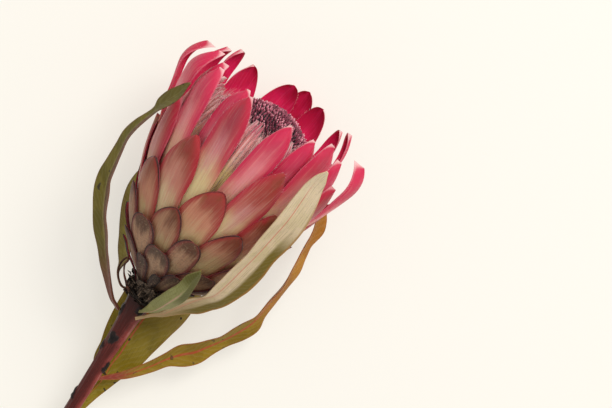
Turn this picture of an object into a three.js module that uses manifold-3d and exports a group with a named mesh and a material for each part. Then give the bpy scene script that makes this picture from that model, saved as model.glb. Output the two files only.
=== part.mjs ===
// A cut protea flower, lying on a surface with its stem towards -X and its head raised a little towards +X.
// Units are millimetres. The flower is drawn in its own frame first: +X runs along the head's axis from
// its base to the bracts' tips, +Z is the side that faces up, and an azimuth is measured round the axis
// from +Z towards -Y. The group at the end tilts that frame so that the flower lies down.

import * as THREE from 'three';
import Module from 'manifold-3d';
import { mergeVertices } from 'three/addons/utils/BufferGeometryUtils.js';

const wasm = await Module();
wasm.setup();

// Driving dimensions
const headLength = 98.4; // from the base of the head to the upper bracts' tips
const tilt = THREE.MathUtils.degToRad(11); // of the head's axis over the surface
const headBase = new THREE.Vector3(-69.6, -3.4, 25); // where the axis leaves the stem, from the rest spot
const gap = 0.3; // between neighbouring pieces
const goldenAngle = THREE.MathUtils.degToRad(137.507764);

// The involucre: overlapping bracts in a golden-angle spiral, counted up from the base
const bracts = {
  firstScale: -14,
  firstBract: 13,
  last: 52,
  azimuthOfZero: THREE.MathUtils.degToRad(-9.9),
  layer: 0.25, // each bract lies this much further in than the one before it
  scaleThickness: 0.7,
  thickness: 0.8,
  thick: { 25: 1.3 }, // the bract that the head rests on
  widest: 19, // the lower bracts widen towards this, and the upper ones are slimmer again
  widestIndex: 32,
  widthSpread: 38,
  narrowFrom: 22,
  widthThere: 17.6,
  narrowing: 0.42, // what each bract loses from there up
  narrowest: 11.4,
  baseRadius: 6.9,
  swell: 38.4, // how far the head widens past its base
  swellLength: 38,
  widestHalfAngle: THREE.MathUtils.degToRad(24),
  tipRows: [0.6, 3, 8], // distances of the first rows from the tip
  scaleTipRows: [0.6, 4],
  rowHeights: [4, 8, 13, 19, 27, 37, 49, 62, 75],
  underTipRows: 4, // the least room between those rows and the tip's, and over the root
  aboveRoot: 1,
  footTaper: 0.5, // how much a blade narrows from its full width towards its foot
  // What sets single bracts apart, by their number in the spiral
  rise: { // how far a bract grew past its place, or short of it
    '-7': 3, '-2': 3, 0: 1, 5: 2, 8: 3.2, 10: 0.6, 13: 1.5, 16: 2.1, 18: 0.4, 21: 1.8, 23: -3.6, 24: -1.7,
    26: -0.6, 29: 0.8, 31: -9.8, 32: -3.6, 33: 3.4, 34: 2.7, 35: -14, 36: -1.5, 37: 3.8, 38: 3.2, 39: -1,
    40: -0.6, 41: 1.3, 44: 2.8, 45: -1.9, 46: 1.6, 48: 2.2, 51: 1.8,
  },
  lean: { // degrees by which its tip stands aside
    0: -1.5, 5: 5.4, 8: -1.6, 10: 8, 13: 5.7, 18: 3.9, 21: 4.3, 23: -11.9, 24: -10.8, 26: 2.7, 29: 5.4,
    31: 4.5, 32: -9.4, 33: 6.2, 34: -5.4, 36: -5.4, 38: 2.7, 39: -1.9, 40: -5, 41: 2.8, 42: 4.5, 44: 17.1,
    45: -1.7, 46: -7.2, 48: 22.6, 49: -1.7, 50: 3.6,
  },
  stand: { 36: 7, 40: 4, 44: 3.5, 49: 3 }, // how far it stands out from the head at its tip
  twist: { 36: -1, 40: 2.2 }, // and how far more on one margin than in its middle
  wider: { // factors on its width
    '-7': 1.4, '-2': 1.3, 0: 1.35, 3: 1.4, 5: 1.15, 33: 1.25, 36: 0.7, 38: 1.25, 40: 0.8, 41: 0.6,
    43: 0.65, 46: 1.3, 48: 0.3, 51: 1.2,
  },
  points: { // how pointed it is: 0.5 would be a half circle
    '-5': 0.3, '-2': 0.3, 0: 0.25, 3: 0.32, 5: 0.38, 8: 0.4, 33: 0.62, 36: 0.9, 38: 0.45, 40: 0.8,
    46: 0.45, 51: 0.45,
  },
  pointed: [0.62, 0.8], // the same for the others, from the first bract to the upper ones
  fuller: 0.02, // widening of the grown head over its plain outline
  fullerLeft: 0.13, // and of its left side more
  fullerBetween: [2.5, 8], // heights over which that widening comes in
  bulgeLeft: 0.12, // low down the head bulges to both sides
  bulgeRight: 0.22,
  bulgeFades: [10, 34],
  curl: 3, // how far an upper tip bends in towards the axis, over its last part
  curlLength: 14,
  curlBetween: [30, 38], // the bracts over which the curl comes in
  moreCurl: { 36: 6.5, 40: 3.5, 44: 4.5, 49: 3, 52: 1.5 },
  blunt: 0.45, // length of a blade's tapering end for its width
  longer: [[4, 14, 0.45], [18, 34, 0.5]], // between which bracts that length grows, and by how much
};

// How the bracts' tips climb: bract 0's height, the step to the next one and what it gains each time
const tipGrowth = { zero: 21.2, step: 1.01, quickening: 0.0361, blend: 4, cap: 94.6 };

// The scales grow from the receptacle's foot and the bracts from above a seam
const receptacle = {
  scalesStart: 1.8,
  scalesEnd: 8.2,
  seam: 9.6,
  bractsStart: 11.5,
  top: 22.3,
  rootDepth: 1.3,
  inset: 0.6, // how far a root reaches into the receptacle
  rooting: 1.2, // height over which it does
  slimming: 6.5, // bracts' layers by which the upper zone stays inside the last scale
};

const floretHead = {
  apex: 94,
  domeCurve: 35, // the dome falls by radius squared over this
  clearance: 1.6,
  shoulder: 70, // where the flank turns into the dome
  sink: 0.6, // how far the solid dome lies under the knobs' feet
  ribs: 26,
  ribDepth: 0.045,
  knobs: 104,
  knobSpread: 25.5,
  knobRadius: 2,
  knobHeight: 1.2,
  knobSink: 1.6,
};

const stem = {
  length: 116.2,
  bend: 0.11, // sideways run of the stem for each millimetre below the head
  leafyLength: 36, // where the stem is leafy and thickens, its rows stand closer
  leafyStep: 4,
  bareStep: 12,
  // distance below the head and radius
  profile: [[gap, 6.3], [3, 6], [8, 5.3], [14, 4.5], [21, 4], [30, 3.5], [36, 3.2], [50, 3], [116.2, 2.9]],
  scarRadius: 2.3,
  // distance below the head and azimuth of each leaf scar
  scars: [[8.4, 37], [13, -70], [24.8, -16], [30.7, -88], [37.6, 75], [55, -85], [74, 60], [88, 190],
    [99, -40]],
};

// Leaves: stations along the rib from base to tip, each with its place in the flower's frame, half the
// blade's width there and the azimuth that it faces. A fold is negative where the margins are raised
const leaves = {
  leaf_left_arching: {
    fold: -22, colour: 0x75713a,
    stations: [[-13.5, 6, 1, 1.5, -60], [-12, 8.5, 2, 2, -58], [-3, 17, 5, 4, -55],
      [3, 22.5, 6, 4.5, -54], [8.5, 27, 7, 6, -54], [15, 32.5, 8, 6, -53], [21.5, 36.5, 9, 6.5, -50],
      [28.5, 40, 10, 6, -48], [35, 41.5, 12, 5, -48], [43, 43, 15, 4, -48], [49.5, 44, 18, 3.5, -48],
      [55.5, 43.5, 21, 3, -52], [66.5, 41, 26, 2, -55], [70.5, 40.5, 27.5, 3, -42],
      [75, 39, 29.5, 3.5, -35], [79.5, 37.5, 31, 3, -35], [83.5, 37, 32, 1.5, -35],
      [85.5, 36.5, 32.5, 0.4, -35]],
  },
  leaf_behind_left: {
    fold: -15, colour: 0x7a7638,
    stations: [[-5.5, 5.5, -2, 0.5, -60], [-7, 9, -4, 0.5, -60], [-4.5, 14, -8.5, 0.5, -52],
      [0, 15, -13.5, 3, -46], [4.5, 18.5, -17, 4, -45], [9, 21, -20, 5, -45], [14, 24.5, -23, 5.5, -45],
      [19.5, 28, -25, 5.5, -45], [25, 30.5, -26.5, 5, -45], [29.5, 32.5, -27.5, 3, -45],
      [33, 34, -28, 0.5, -45]],
  },
  leaf_small_front: {
    fold: 14, colour: 0x9aa06a,
    stations: [[-7.5, -4.5, 6, 0.7, 30], [-3.5, -7.5, 10.5, 3, 28], [1.5, -9.5, 16.5, 4.5, 26],
      [6.5, -11, 21, 4.5, 24], [12, -12.5, 24.5, 4.5, 22], [17, -13, 27.5, 3.5, 20], [22, -13, 30, 3, 20],
      [26, -13.5, 32, 1.5, 20], [28, -13.5, 33, 0.3, 20]],
  },
  leaf_front_right: {
    fold: -22, colour: 0xb4b07f,
    stations: [[-10, -5.5, 5, 0.8, 45], [-6.5, -8.5, 4, 1, 45], [-3, -11.5, 4.5, 2, 46],
      [2, -14, 6, 4, 46], [7.5, -16.5, 8.5, 7.5, 47], [14, -20, 11.5, 8.5, 48],
      [19.5, -23.5, 15, 8.5, 48], [28, -25, 19, 10, 48], [37.5, -26, 23, 10, 48],
      [47, -27, 26.5, 8.5, 47], [56, -27.5, 29.5, 9, 45], [66.5, -28, 32.5, 8.5, 43],
      [76.5, -27.5, 34.5, 7, 41], [85, -27, 36, 5, 40], [89.5, -27.5, 37, 3.5, 40],
      [93, -28.5, 37.5, 0.7, 40]],
  },
  leaf_lower_right: {
    fold: -18, colour: 0xa8802c,
    stations: [[-42.5, -8.5, -1, 1, 30], [-36.5, -14.5, -3, 2, 30], [-32, -18, -5, 2.5, 30],
      [-26.5, -21.5, -7, 3, 30], [-21, -24.5, -8.5, 3.5, 28], [-16, -28, -10, 5.5, 26],
      [-11.5, -32, -11, 5.5, 28], [-6, -35, -12, 4.5, 38], [-0.5, -38, -13, 4, 48],
      [6.5, -41, -13, 5, 45], [13, -43, -13, 5.5, 52], [18, -43.5, -13, 4, 66],
      [25.5, -43.5, -12.5, 4, 70], [34, -44, -12, 3.5, 76], [42, -43, -12, 4.5, 68],
      [49, -41.5, -13, 4, 69], [54.5, -40.5, -14.5, 3.5, 66], [61.5, -39.5, -19, 4.5, 48],
      [65, -38.5, -21, 3.5, 48], [68, -37.5, -22.5, 2, 50], [71, -37, -24, 0.6, 50]],
  },
  leaf_broad_behind: {
    fold: 6, colour: 0x98862a,
    stations: [[-84, -9, -4, 1.5, 4], [-74, -8, -4.5, 2.5, 4], [-63.5, -8, -4.5, 2.5, 4],
      [-52.5, -8.5, -5, 3.5, 4], [-44.5, -9, -6, 5, 4], [-37.5, -8, -7.5, 8.5, 3],
      [-31.5, -8, -8.5, 10, 2], [-22.5, -7, -11, 12, 2], [-13.5, -6.5, -14.5, 13.5, 0],
      [-5, -6.5, -18.5, 14.5, 0], [4.5, -6.5, -22.5, 13.5, 0], [12.5, -7, -25.5, 10.5, 0],
      [19, -7, -27, 5, 0], [22, -7.5, -27.5, 0.4, 0]],
  },
};
const leafThickness = 0.8;

const curledThread = {
  path: [[-4.5, 4, 5.5], [-3.5, 6.5, 5.2], [-2, 8.5, 5], [-0.5, 10.5, 5], [1.2, 12, 5.2],
    [3.7, 13.3, 5.8], [6.1, 13.2, 6.4], [6.7, 13.9, 5.6], [4.4, 14.9, 3.6], [1.2, 14.9, 2],
    [-2, 13.7, 1.4], [-4.1, 11.6, 1.4], [-5.4, 9.2, 1.8], [-5.7, 7.1, 2.2], [-5.5, 5.7, 2.4]],
  radius: 0.45,
  steps: 30,
};

// Height of a bract's tip over the base of the head
function tipHeight(n) {
  const { zero, step, quickening, blend } = tipGrowth;
  const free = n < 0 ? zero * Math.exp(step / zero * n) : zero + step * n + quickening * n * n;
  const capped = -blend * Math.log(Math.exp(-free / blend) + Math.exp(-headLength / blend));
  return capped + (bracts.rise[n] ?? 0);
}

// The bract whose tip would stand at a height: the inverse of tipHeight, up to the cap
function tipIndex(height) {
  const { zero, step, quickening, cap } = tipGrowth;
  if (height < zero) return Math.max(Math.log(Math.max(height, 1) / zero) * zero / step, bracts.firstScale);
  const over = Math.min(height, cap) - zero;
  return (Math.sqrt(step ** 2 + 4 * quickening * over) - step) / (2 * quickening);
}

function headRadius(height) {
  return bracts.baseRadius + bracts.swell * (1 - Math.exp(-Math.max(height, 0) / bracts.swellLength));
}

// The head isn't quite round: a factor on every radius at an azimuth, from none at its foot
function fullness(height, azimuth) {
  const { smoothstep } = THREE.MathUtils;
  const left = Math.max(0, -Math.sin(azimuth)) ** 2;
  const right = Math.max(0, Math.sin(azimuth)) ** 2;
  const bulge = bracts.bulgeLeft * left + bracts.bulgeRight * right;
  const bulging = bulge * (1 - smoothstep(height, ...bracts.bulgeFades));
  const fuller = bracts.fuller + bracts.fullerLeft * left + bulging;
  return 1 + smoothstep(height, ...bracts.fullerBetween) * fuller;
}

// Radius of a bract's outer face at a height, apart from the curl of its tip
function bractRadius(n, height) {
  return headRadius(height) - bracts.layer * (n - tipIndex(height));
}

// Height where a bract leaves the receptacle
function attachHeight(n) {
  if (n < bracts.firstBract) {
    const { scalesStart, scalesEnd } = receptacle;
    return THREE.MathUtils.mapLinear(n, bracts.firstScale, bracts.firstBract - 1, scalesStart, scalesEnd);
  }
  return THREE.MathUtils.mapLinear(n, bracts.firstBract, bracts.last, receptacle.bractsStart, receptacle.top);
}

function receptacleRadius(height) {
  const lastScale = bracts.firstBract - 1;
  if (height < receptacle.seam) {
    const { scalesStart, scalesEnd } = receptacle;
    const n = THREE.MathUtils.mapLinear(height, scalesStart, scalesEnd, bracts.firstScale, lastScale);
    return bractRadius(THREE.MathUtils.clamp(n, bracts.firstScale, lastScale + 1), height);
  }
  const { bractsStart, top, slimming } = receptacle;
  const n = THREE.MathUtils.mapLinear(height, bractsStart, top, bracts.firstBract, bracts.last);
  return bractRadius(Math.max(n, lastScale + slimming), height);
}

// A value's way from one place to another, held at both ends
function share(value, from, to) {
  return THREE.MathUtils.clamp((value - from) / (to - from), 0, 1);
}

function bractWidth(n) {
  const { widest, widestIndex, widthSpread, narrowFrom, widthThere, narrowing, narrowest } = bracts;
  const grown = widest * Math.exp(-(((n - widestIndex) / widthSpread) ** 2));
  const slimmed = Math.max(widthThere - narrowing * (n - narrowFrom), narrowest);
  return Math.min(grown, slimmed) * (bracts.wider[n] ?? 1);
}

// Length of a bract's tapering end for its width: blunt below, longer above
function bluntness(n) {
  return bracts.longer.reduce((length, [from, to, more]) => length + more * share(n, from, to), bracts.blunt);
}

function pointedness(n) {
  const { points, pointed, firstBract, widestIndex } = bracts;
  return points[n] ?? THREE.MathUtils.lerp(...pointed, share(n, firstBract, widestIndex));
}

// A closed sheet between two grids of points, split into triangles alike on both faces
function closedSheet(outer, inner) {
  const rows = outer.length;
  const columns = outer[0].length;
  const points = [...outer.flat(), ...inner.flat()];
  const back = rows * columns;
  const at = (row, column) => row * columns + column;
  const index = [];
  const quad = (a, b, c, d) => index.push(a, c, b, a, d, c);
  for (let row = 0; row < rows - 1; row++) {
    for (let column = 0; column < columns - 1; column++) {
      const [a, b] = [at(row, column), at(row, column + 1)];
      const [c, d] = [at(row + 1, column + 1), at(row + 1, column)];
      quad(a, b, c, d);
      index.push(back + a, back + b, back + c, back + a, back + c, back + d);
    }
  }
  for (let column = 0; column < columns - 1; column++) {
    quad(at(0, column + 1), at(0, column), back + at(0, column), back + at(0, column + 1));
    const end = rows - 1;
    quad(at(end, column), at(end, column + 1), back + at(end, column + 1), back + at(end, column));
  }
  for (let row = 0; row < rows - 1; row++) {
    quad(at(row, 0), at(row + 1, 0), back + at(row + 1, 0), back + at(row, 0));
    const end = columns - 1;
    quad(at(row + 1, end), at(row, end), back + at(row, end), back + at(row + 1, end));
  }
  const geometry = new THREE.BufferGeometry().setFromPoints(points);
  geometry.setIndex(index);
  return geometry;
}

function toSolid(geometry) {
  const bare = geometry.clone();
  bare.deleteAttribute('normal');
  bare.deleteAttribute('uv');
  const merged = mergeVertices(bare, 1e-4);
  const solid = new wasm.Manifold(new wasm.Mesh({
    numProp: 3,
    vertProperties: new Float32Array(merged.attributes.position.array),
    triVerts: new Uint32Array(merged.index.array),
  }));
  if (solid.volume() < 0) throw new Error('a solid is inside out');
  return solid;
}

function toMesh(solid, name, colour, roughness) {
  const { vertProperties, triVerts } = solid.getMesh();
  const geometry = new THREE.BufferGeometry();
  geometry.setAttribute('position', new THREE.BufferAttribute(new Float32Array(vertProperties), 3));
  geometry.setIndex(new THREE.BufferAttribute(new Uint32Array(triVerts), 1));
  geometry.computeVertexNormals();
  const material = new THREE.MeshStandardMaterial({ color: colour, roughness, metalness: 0 });
  const mesh = new THREE.Mesh(geometry, material);
  mesh.name = name;
  return mesh;
}

// The union of touching solids without its slivers, and with any pocket sealed between them filled
function joined(solids) {
  const sliver = 2e-3;
  const whole = wasm.Manifold.union(solids).simplify(sliver);
  const bodies = whole.decompose().filter((body) => body.volume() > 0);
  if (bodies.length > 1) throw new Error('a piece has come loose');
  return bodies[0];
}

// A point at a height along the axis, a radius from it and an azimuth round it
function roundHead(height, radius, azimuth) {
  return new THREE.Vector3(height, -radius * Math.sin(azimuth), radius * Math.cos(azimuth));
}

// The same on the head as it has grown, not quite round
function onHead(height, radius, azimuth) {
  return roundHead(height, radius * fullness(height, azimuth), azimuth);
}

// One bract: a blade that follows a circle about the axis in every section
function bractSolid(n) {
  const tip = tipHeight(n);
  const root = attachHeight(n) - receptacle.rootDepth;
  const isScale = n < bracts.firstBract;
  const width = bractWidth(n);
  const shoulder = width * bluntness(n);
  const across = isScale ? [-1, 0, 1] : [-1, -0.4, 0.4, 1];
  const tipRows = isScale ? bracts.scaleTipRows : bracts.tipRows;
  const lastTipRow = tipRows[tipRows.length - 1];
  const heights = [
    ...tipRows.map((distance) => tip - distance),
    ...bracts.rowHeights.filter((height) => height < tip - lastTipRow - bracts.underTipRows
      && height > root + bracts.aboveRoot).reverse(),
    root,
  ];
  const thickness = bracts.thick[n] ?? (isScale ? bracts.scaleThickness : bracts.thickness);
  const curl = bracts.curl * share(n, ...bracts.curlBetween) + (bracts.moreCurl[n] ?? 0);
  const [stand, twist] = [bracts.stand[n] ?? 0, bracts.twist[n] ?? 0];
  const lean = THREE.MathUtils.degToRad(bracts.lean[n] ?? 0);
  const outer = [];
  const inner = [];
  for (const height of heights) {
    const fromTip = tip - height;
    const round = (1 - (1 - Math.min(1, fromTip / shoulder)) ** 2) ** pointedness(n);
    const taper = 1 - bracts.footTaper * (Math.max(0, fromTip - shoulder) / tip) ** 1.2;
    const grown = Math.max(0, height / tip);
    const middle = bracts.azimuthOfZero + goldenAngle * n + lean * grown ** 2;
    const straight = bractRadius(n, height) - curl * Math.max(0, 1 - fromTip / bracts.curlLength) ** 2;
    const isRooted = height < attachHeight(n) + receptacle.rooting;
    const rooted = isRooted ? receptacleRadius(height) - receptacle.inset : Infinity;
    const places = across.map((side) => {
      const radius = straight + (stand + twist * side) * grown ** 3;
      const halfAngle = Math.min(round * taper * width / 2 / radius, bracts.widestHalfAngle);
      return [radius, Math.min(radius - thickness, rooted), middle + side * halfAngle];
    });
    outer.push(places.map(([radius, , azimuth]) => onHead(height, radius, azimuth)));
    inner.push(places.map(([, within, azimuth]) => onHead(height, within, azimuth)));
  }
  return toSolid(closedSheet(outer, inner));
}

// A solid of revolution about the head's axis from points of [radius, height]
function turned(profile, sides) {
  const geometry = new THREE.LatheGeometry(profile.map(([r, h]) => new THREE.Vector2(r, h)), sides);
  geometry.rotateZ(-Math.PI / 2);
  return toSolid(geometry);
}

// The receptacle between two heights
function receptacleSolid(from, to) {
  const steps = 5;
  const side = range(0, steps).map((step) => {
    const height = from + (to - from) * step / steps;
    return [receptacleRadius(height), height];
  });
  return turned([[0, from], ...side, [0, to]], 24);
}

function range(from, to) {
  return Array.from({ length: to - from + 1 }, (_, step) => from + step);
}

// A leaf: a keeled blade through its stations, across the curve that its rib follows
function leafSolid(leaf) {
  const places = leaf.stations.map(([x, y, z]) => new THREE.Vector3(x, y, z));
  const rib = new THREE.CatmullRomCurve3(places);
  const fold = THREE.MathUtils.degToRad(leaf.fold);
  const upper = [];
  const lower = [];
  leaf.stations.forEach(([, , , half, facing], station) => {
    const forward = rib.getTangent(station / (leaf.stations.length - 1));
    const azimuth = THREE.MathUtils.degToRad(facing);
    const face = new THREE.Vector3(0, -Math.sin(azimuth), Math.cos(azimuth));
    face.addScaledVector(forward, -face.dot(forward)).normalize();
    const sideways = new THREE.Vector3().crossVectors(forward, face);
    const row = [-1, -0.5, 0, 0.5, 1].map((side) => places[station].clone()
      .addScaledVector(sideways, -side * half * Math.cos(fold))
      .addScaledVector(face, -Math.abs(side) * half * Math.sin(fold)));
    upper.push(row.map((point) => point.clone().addScaledVector(face, leafThickness / 2)));
    lower.push(row.map((point) => point.clone().addScaledVector(face, -leafThickness / 2)));
  });
  return toSolid(closedSheet(upper, lower));
}

// The stem: a tapering rod with a slanted run and raised leaf scars
function stemCentre(below) {
  return new THREE.Vector3(-below, -stem.bend * below, 0);
}

function stemRadius(below) {
  const next = stem.profile.findIndex(([distance]) => distance >= below);
  if (next <= 0) return stem.profile[0][1];
  const [from, to] = [stem.profile[next - 1], stem.profile[next]];
  return THREE.MathUtils.lerp(from[1], to[1], (below - from[0]) / (to[0] - from[0]));
}

function stemSolid() {
  const first = stem.profile[0][0];
  const rows = [];
  const step = (below) => (below < stem.leafyLength ? stem.leafyStep : stem.bareStep);
  for (let below = first; below < stem.length; below += step(below)) rows.push(below);
  rows.push(stem.length);
  const side = rows.map((below) => new THREE.Vector2(stemRadius(below), below));
  const points = [new THREE.Vector2(0, first), ...side, new THREE.Vector2(0, stem.length)];
  const geometry = new THREE.LatheGeometry(points, 12);
  const place = geometry.attributes.position;
  for (let i = 0; i < place.count; i++) {
    const centre = stemCentre(place.getY(i));
    place.setXYZ(i, centre.x, centre.y + place.getX(i), centre.z + place.getZ(i));
  }
  const scars = stem.scars.map(([below, degrees]) => {
    const azimuth = THREE.MathUtils.degToRad(degrees);
    const scar = new THREE.SphereGeometry(stem.scarRadius, 7, 5);
    scar.scale(1.25, 1, 1);
    const centre = stemCentre(below);
    const out = stemRadius(below) - stem.scarRadius * 0.55;
    scar.translate(centre.x, centre.y - out * Math.sin(azimuth), out * Math.cos(azimuth));
    return toSolid(scar);
  });
  return joined([toSolid(geometry), ...scars]);
}

function threadSolid() {
  const path = new THREE.CatmullRomCurve3(curledThread.path.map((point) => new THREE.Vector3(...point)));
  const section = new THREE.Shape().absarc(0, 0, curledThread.radius, 0, 2 * Math.PI);
  const settings = { steps: curledThread.steps, curveSegments: 3, extrudePath: path };
  return toSolid(new THREE.ExtrudeGeometry(section, settings));
}

// A solid drawn on the round head, with the head's fullness
function asGrown(solid) {
  return solid.warp((point) => {
    const full = fullness(point[0], Math.atan2(-point[1], point[2]));
    point[1] *= full;
    point[2] *= full;
  });
}

// The florets: a ribbed mass of silky tubes under a dome of knobs
function floretRadius(height) {
  const inside = bractRadius(bracts.last, height) - floretHead.clearance;
  const dome = Math.sqrt(Math.max(0, floretHead.domeCurve * (floretHead.apex - height)));
  return Math.min(inside, dome);
}

function floretFlank() {
  const heights = [receptacle.top + gap, 30, 40, 50, 60, floretHead.shoulder];
  const side = heights.map((height) => new THREE.Vector2(floretRadius(height), height));
  const geometry = new THREE.LatheGeometry([new THREE.Vector2(0, heights[0]), ...side,
    new THREE.Vector2(0, floretHead.shoulder)], floretHead.ribs * 2);
  const place = geometry.attributes.position;
  for (let i = 0; i < place.count; i++) {
    const [x, z] = [place.getX(i), place.getZ(i)];
    const groove = 1 - floretHead.ribDepth * (1 - Math.cos(Math.atan2(x, z) * floretHead.ribs)) / 2;
    place.setX(i, x * groove);
    place.setZ(i, z * groove);
  }
  geometry.rotateZ(-Math.PI / 2);
  return toSolid(geometry);
}

function floretKnob(k) {
  const radius = floretHead.knobSpread * Math.sqrt((k + 0.5) / floretHead.knobs);
  const azimuth = goldenAngle * k;
  const height = floretHead.apex - radius ** 2 / floretHead.domeCurve;
  const out = roundHead(1, 2 * radius / floretHead.domeCurve, azimuth).normalize();
  const knob = new THREE.CylinderGeometry(floretHead.knobRadius * 0.45, floretHead.knobRadius,
    floretHead.knobHeight + floretHead.knobSink, 4);
  knob.applyQuaternion(new THREE.Quaternion().setFromUnitVectors(new THREE.Vector3(0, 1, 0), out));
  const middle = onHead(height, radius, azimuth)
    .addScaledVector(out, (floretHead.knobHeight - floretHead.knobSink) / 2);
  knob.translate(middle.x, middle.y, middle.z);
  return toSolid(knob);
}

function floretsSolid() {
  const { shoulder, apex, sink } = floretHead;
  const heights = [shoulder - 4, shoulder, apex - 16, apex - 9, apex - 4, apex - 1.2];
  const dome = turned([[0, shoulder - 4], ...heights.map((height) => [floretRadius(height) - sink, height]),
    [0, apex - sink]], 20);
  return joined([asGrown(floretFlank()), asGrown(dome), ...range(0, floretHead.knobs - 1).map(floretKnob)]);
}

const flower = new THREE.Group();
flower.rotation.y = -tilt;
flower.position.copy(headBase);
flower.updateMatrixWorld();

// The surface that the flower lies on, seen from the flower's frame: what would pass it is pressed flat
const under = new THREE.BoxGeometry(400, 400, 50);
under.translate(0, 0, -25);
under.applyMatrix4(flower.matrixWorld.clone().invert());
const surface = toSolid(under);

function add(solid, name, colour, roughness) {
  flower.add(toMesh(solid.subtract(surface), name, colour, roughness));
}

const scaleZone = asGrown(receptacleSolid(gap, receptacle.seam - gap / 2));
const bractZone = asGrown(receptacleSolid(receptacle.seam + gap / 2, receptacle.top));
const belowHead = turned([[0, -20], [20, -20], [20, gap], [0, gap]], 24);
const scales = joined([scaleZone, ...range(bracts.firstScale, bracts.firstBract - 1).map(bractSolid)]);
const petals = joined([bractZone, ...range(bracts.firstBract, bracts.last).map(bractSolid)]);
add(scales.subtract(belowHead), 'basal_scales', 0x7a6558, 0.8);
add(petals, 'bracts', 0xc04a5a, 0.6);
add(floretsSolid(), 'florets', 0x6d3a48, 0.8);
add(stemSolid(), 'stem', 0x5e3038, 0.6);
for (const [name, leaf] of Object.entries(leaves)) add(leafSolid(leaf), name, leaf.colour, 0.55);
add(threadSolid(), 'curled_leaf_remnant', 0x5a3a30, 0.7);

export default flower;
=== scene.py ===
import math
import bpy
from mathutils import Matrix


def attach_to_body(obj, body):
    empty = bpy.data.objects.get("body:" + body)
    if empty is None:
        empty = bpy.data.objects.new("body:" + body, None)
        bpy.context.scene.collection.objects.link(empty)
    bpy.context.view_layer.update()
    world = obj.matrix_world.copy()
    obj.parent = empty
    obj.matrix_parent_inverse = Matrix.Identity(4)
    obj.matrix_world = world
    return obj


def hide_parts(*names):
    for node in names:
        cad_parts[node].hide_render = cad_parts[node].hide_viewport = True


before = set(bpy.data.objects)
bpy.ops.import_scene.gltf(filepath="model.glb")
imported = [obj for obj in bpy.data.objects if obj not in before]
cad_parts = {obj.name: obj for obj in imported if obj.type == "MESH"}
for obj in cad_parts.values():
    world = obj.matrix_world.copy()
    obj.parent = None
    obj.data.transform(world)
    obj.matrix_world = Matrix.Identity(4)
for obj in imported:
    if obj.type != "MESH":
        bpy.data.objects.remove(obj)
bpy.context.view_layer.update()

from types import SimpleNamespace

import bpy
import numpy as np
from mathutils import Matrix, Vector

# Lengths are in millimetres in the head's own frame until toWorld: x along the head's axis from its base,
# z the side that faces up, and azimuths are measured round the axis from z towards -y
head = {
    "base": (-69.6, -3.4, 25.0),
    "tilt": 11,
    "length": 98.4,
    "goldenAngle": 137.507764,
    "baseRadius": 6.9,
    "swell": 38.4,
    "swellLength": 38.0,
    "layer": 0.25,  # each bract lies this much further in than the one before it
    "firstScale": -14,
    "fuller": 0.02,  # the grown head is wider than its plain outline by this share, and more so on its left
    "fullerLeft": 0.13,
    "fullerBetween": (2.5, 8),
    "bulgeLeft": 0.12,  # low down it also bulges to both sides
    "bulgeRight": 0.22,
    "bulgeFades": (10, 34),
    "zeroTip": 21.2,  # how high the tip of bract 0 stands, how much higher the next, and how that step grows
    "tipStep": 1.01,
    "quickening": 0.0361,
    "blend": 4.0,  # how softly the tips stop rising at the head's length
    "cap": 94.6,
}
tilt = math.radians(head["tilt"])


def say(text):
    print("protea:", text)


def tilted(x, z):
    # Turns numbers or fields along the head's axes x and z to the world's
    return x * math.cos(tilt) - z * math.sin(tilt), x * math.sin(tilt) + z * math.cos(tilt)


def toWorld(points):
    x, y, z = np.asarray(points, float).reshape(-1, 3).T
    forward, upward = tilted(x, z)
    return (np.array((forward, y, upward)).T + head["base"]) * 0.001


def aboveSurface(points):
    # Places in the world, none of them below the surface that the flower lies on
    world = toWorld(points)
    world[:, 2] = np.maximum(world[:, 2], 0)
    return world


def linear(hexColour, alpha=1.0):
    parts = [int(hexColour[i:i + 2], 16) / 255 for i in (1, 3, 5)]
    return [p / 12.92 if p <= 0.04045 else ((p + 0.055) / 1.055) ** 2.4 for p in parts] + [alpha]


def fill(tree, node, inputs):
    # Gives a node's inputs their values, or links them to what works these out
    for key, value in inputs.items():
        value = getattr(value, "socket", value)
        if isinstance(value, bpy.types.NodeSocket):
            tree.links.new(value, node.inputs[key])
        else:
            node.inputs[key].default_value = value


def addNode(tree, kind, settings=None, inputs=None):
    node = tree.nodes.new(kind)
    for key, value in (settings or {}).items():
        if key == "stops":  # a colour ramp's places and hex colours
            ramp = node.color_ramp.elements
            while len(ramp) < len(value):
                ramp.new(0.5)
            for element, (place, hexColour) in zip(ramp, value):
                element.position = place
                element.color = linear(hexColour)
        else:
            setattr(node, key, value)
    fill(tree, node, inputs or {})
    return node


class Field:
    # A number that a node tree works out. The usual signs between fields add the Math nodes
    def __init__(self, tree, socket):
        self.tree = tree
        self.socket = socket

    def smooth(self, start, end):
        # Climbs gently from 0 at start to 1 at end
        ends = {"Value": self, "From Min": start, "From Max": end}
        node = addNode(self.tree, "ShaderNodeMapRange", {"interpolation_type": "SMOOTHSTEP"}, ends)
        return Field(self.tree, node.outputs[0])

    def __abs__(self):
        return reckon("ABSOLUTE", self)


def reckon(operation, *terms):
    tree = next(term.tree for term in terms if isinstance(term, Field))
    node = addNode(tree, "ShaderNodeMath", {"operation": operation}, dict(enumerate(terms)))
    return Field(tree, node.outputs[0])


signs = {"add": "ADD", "sub": "SUBTRACT", "mul": "MULTIPLY", "truediv": "DIVIDE", "pow": "POWER"}
for sign, operation in signs.items():
    setattr(Field, f"__{sign}__", lambda self, other, kind=operation: reckon(kind, self, other))
    setattr(Field, f"__r{sign}__", lambda self, other, kind=operation: reckon(kind, other, self))


def larger(a, b):
    return reckon("MAXIMUM", a, b) if isinstance(a, Field) else max(a, b)


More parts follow.
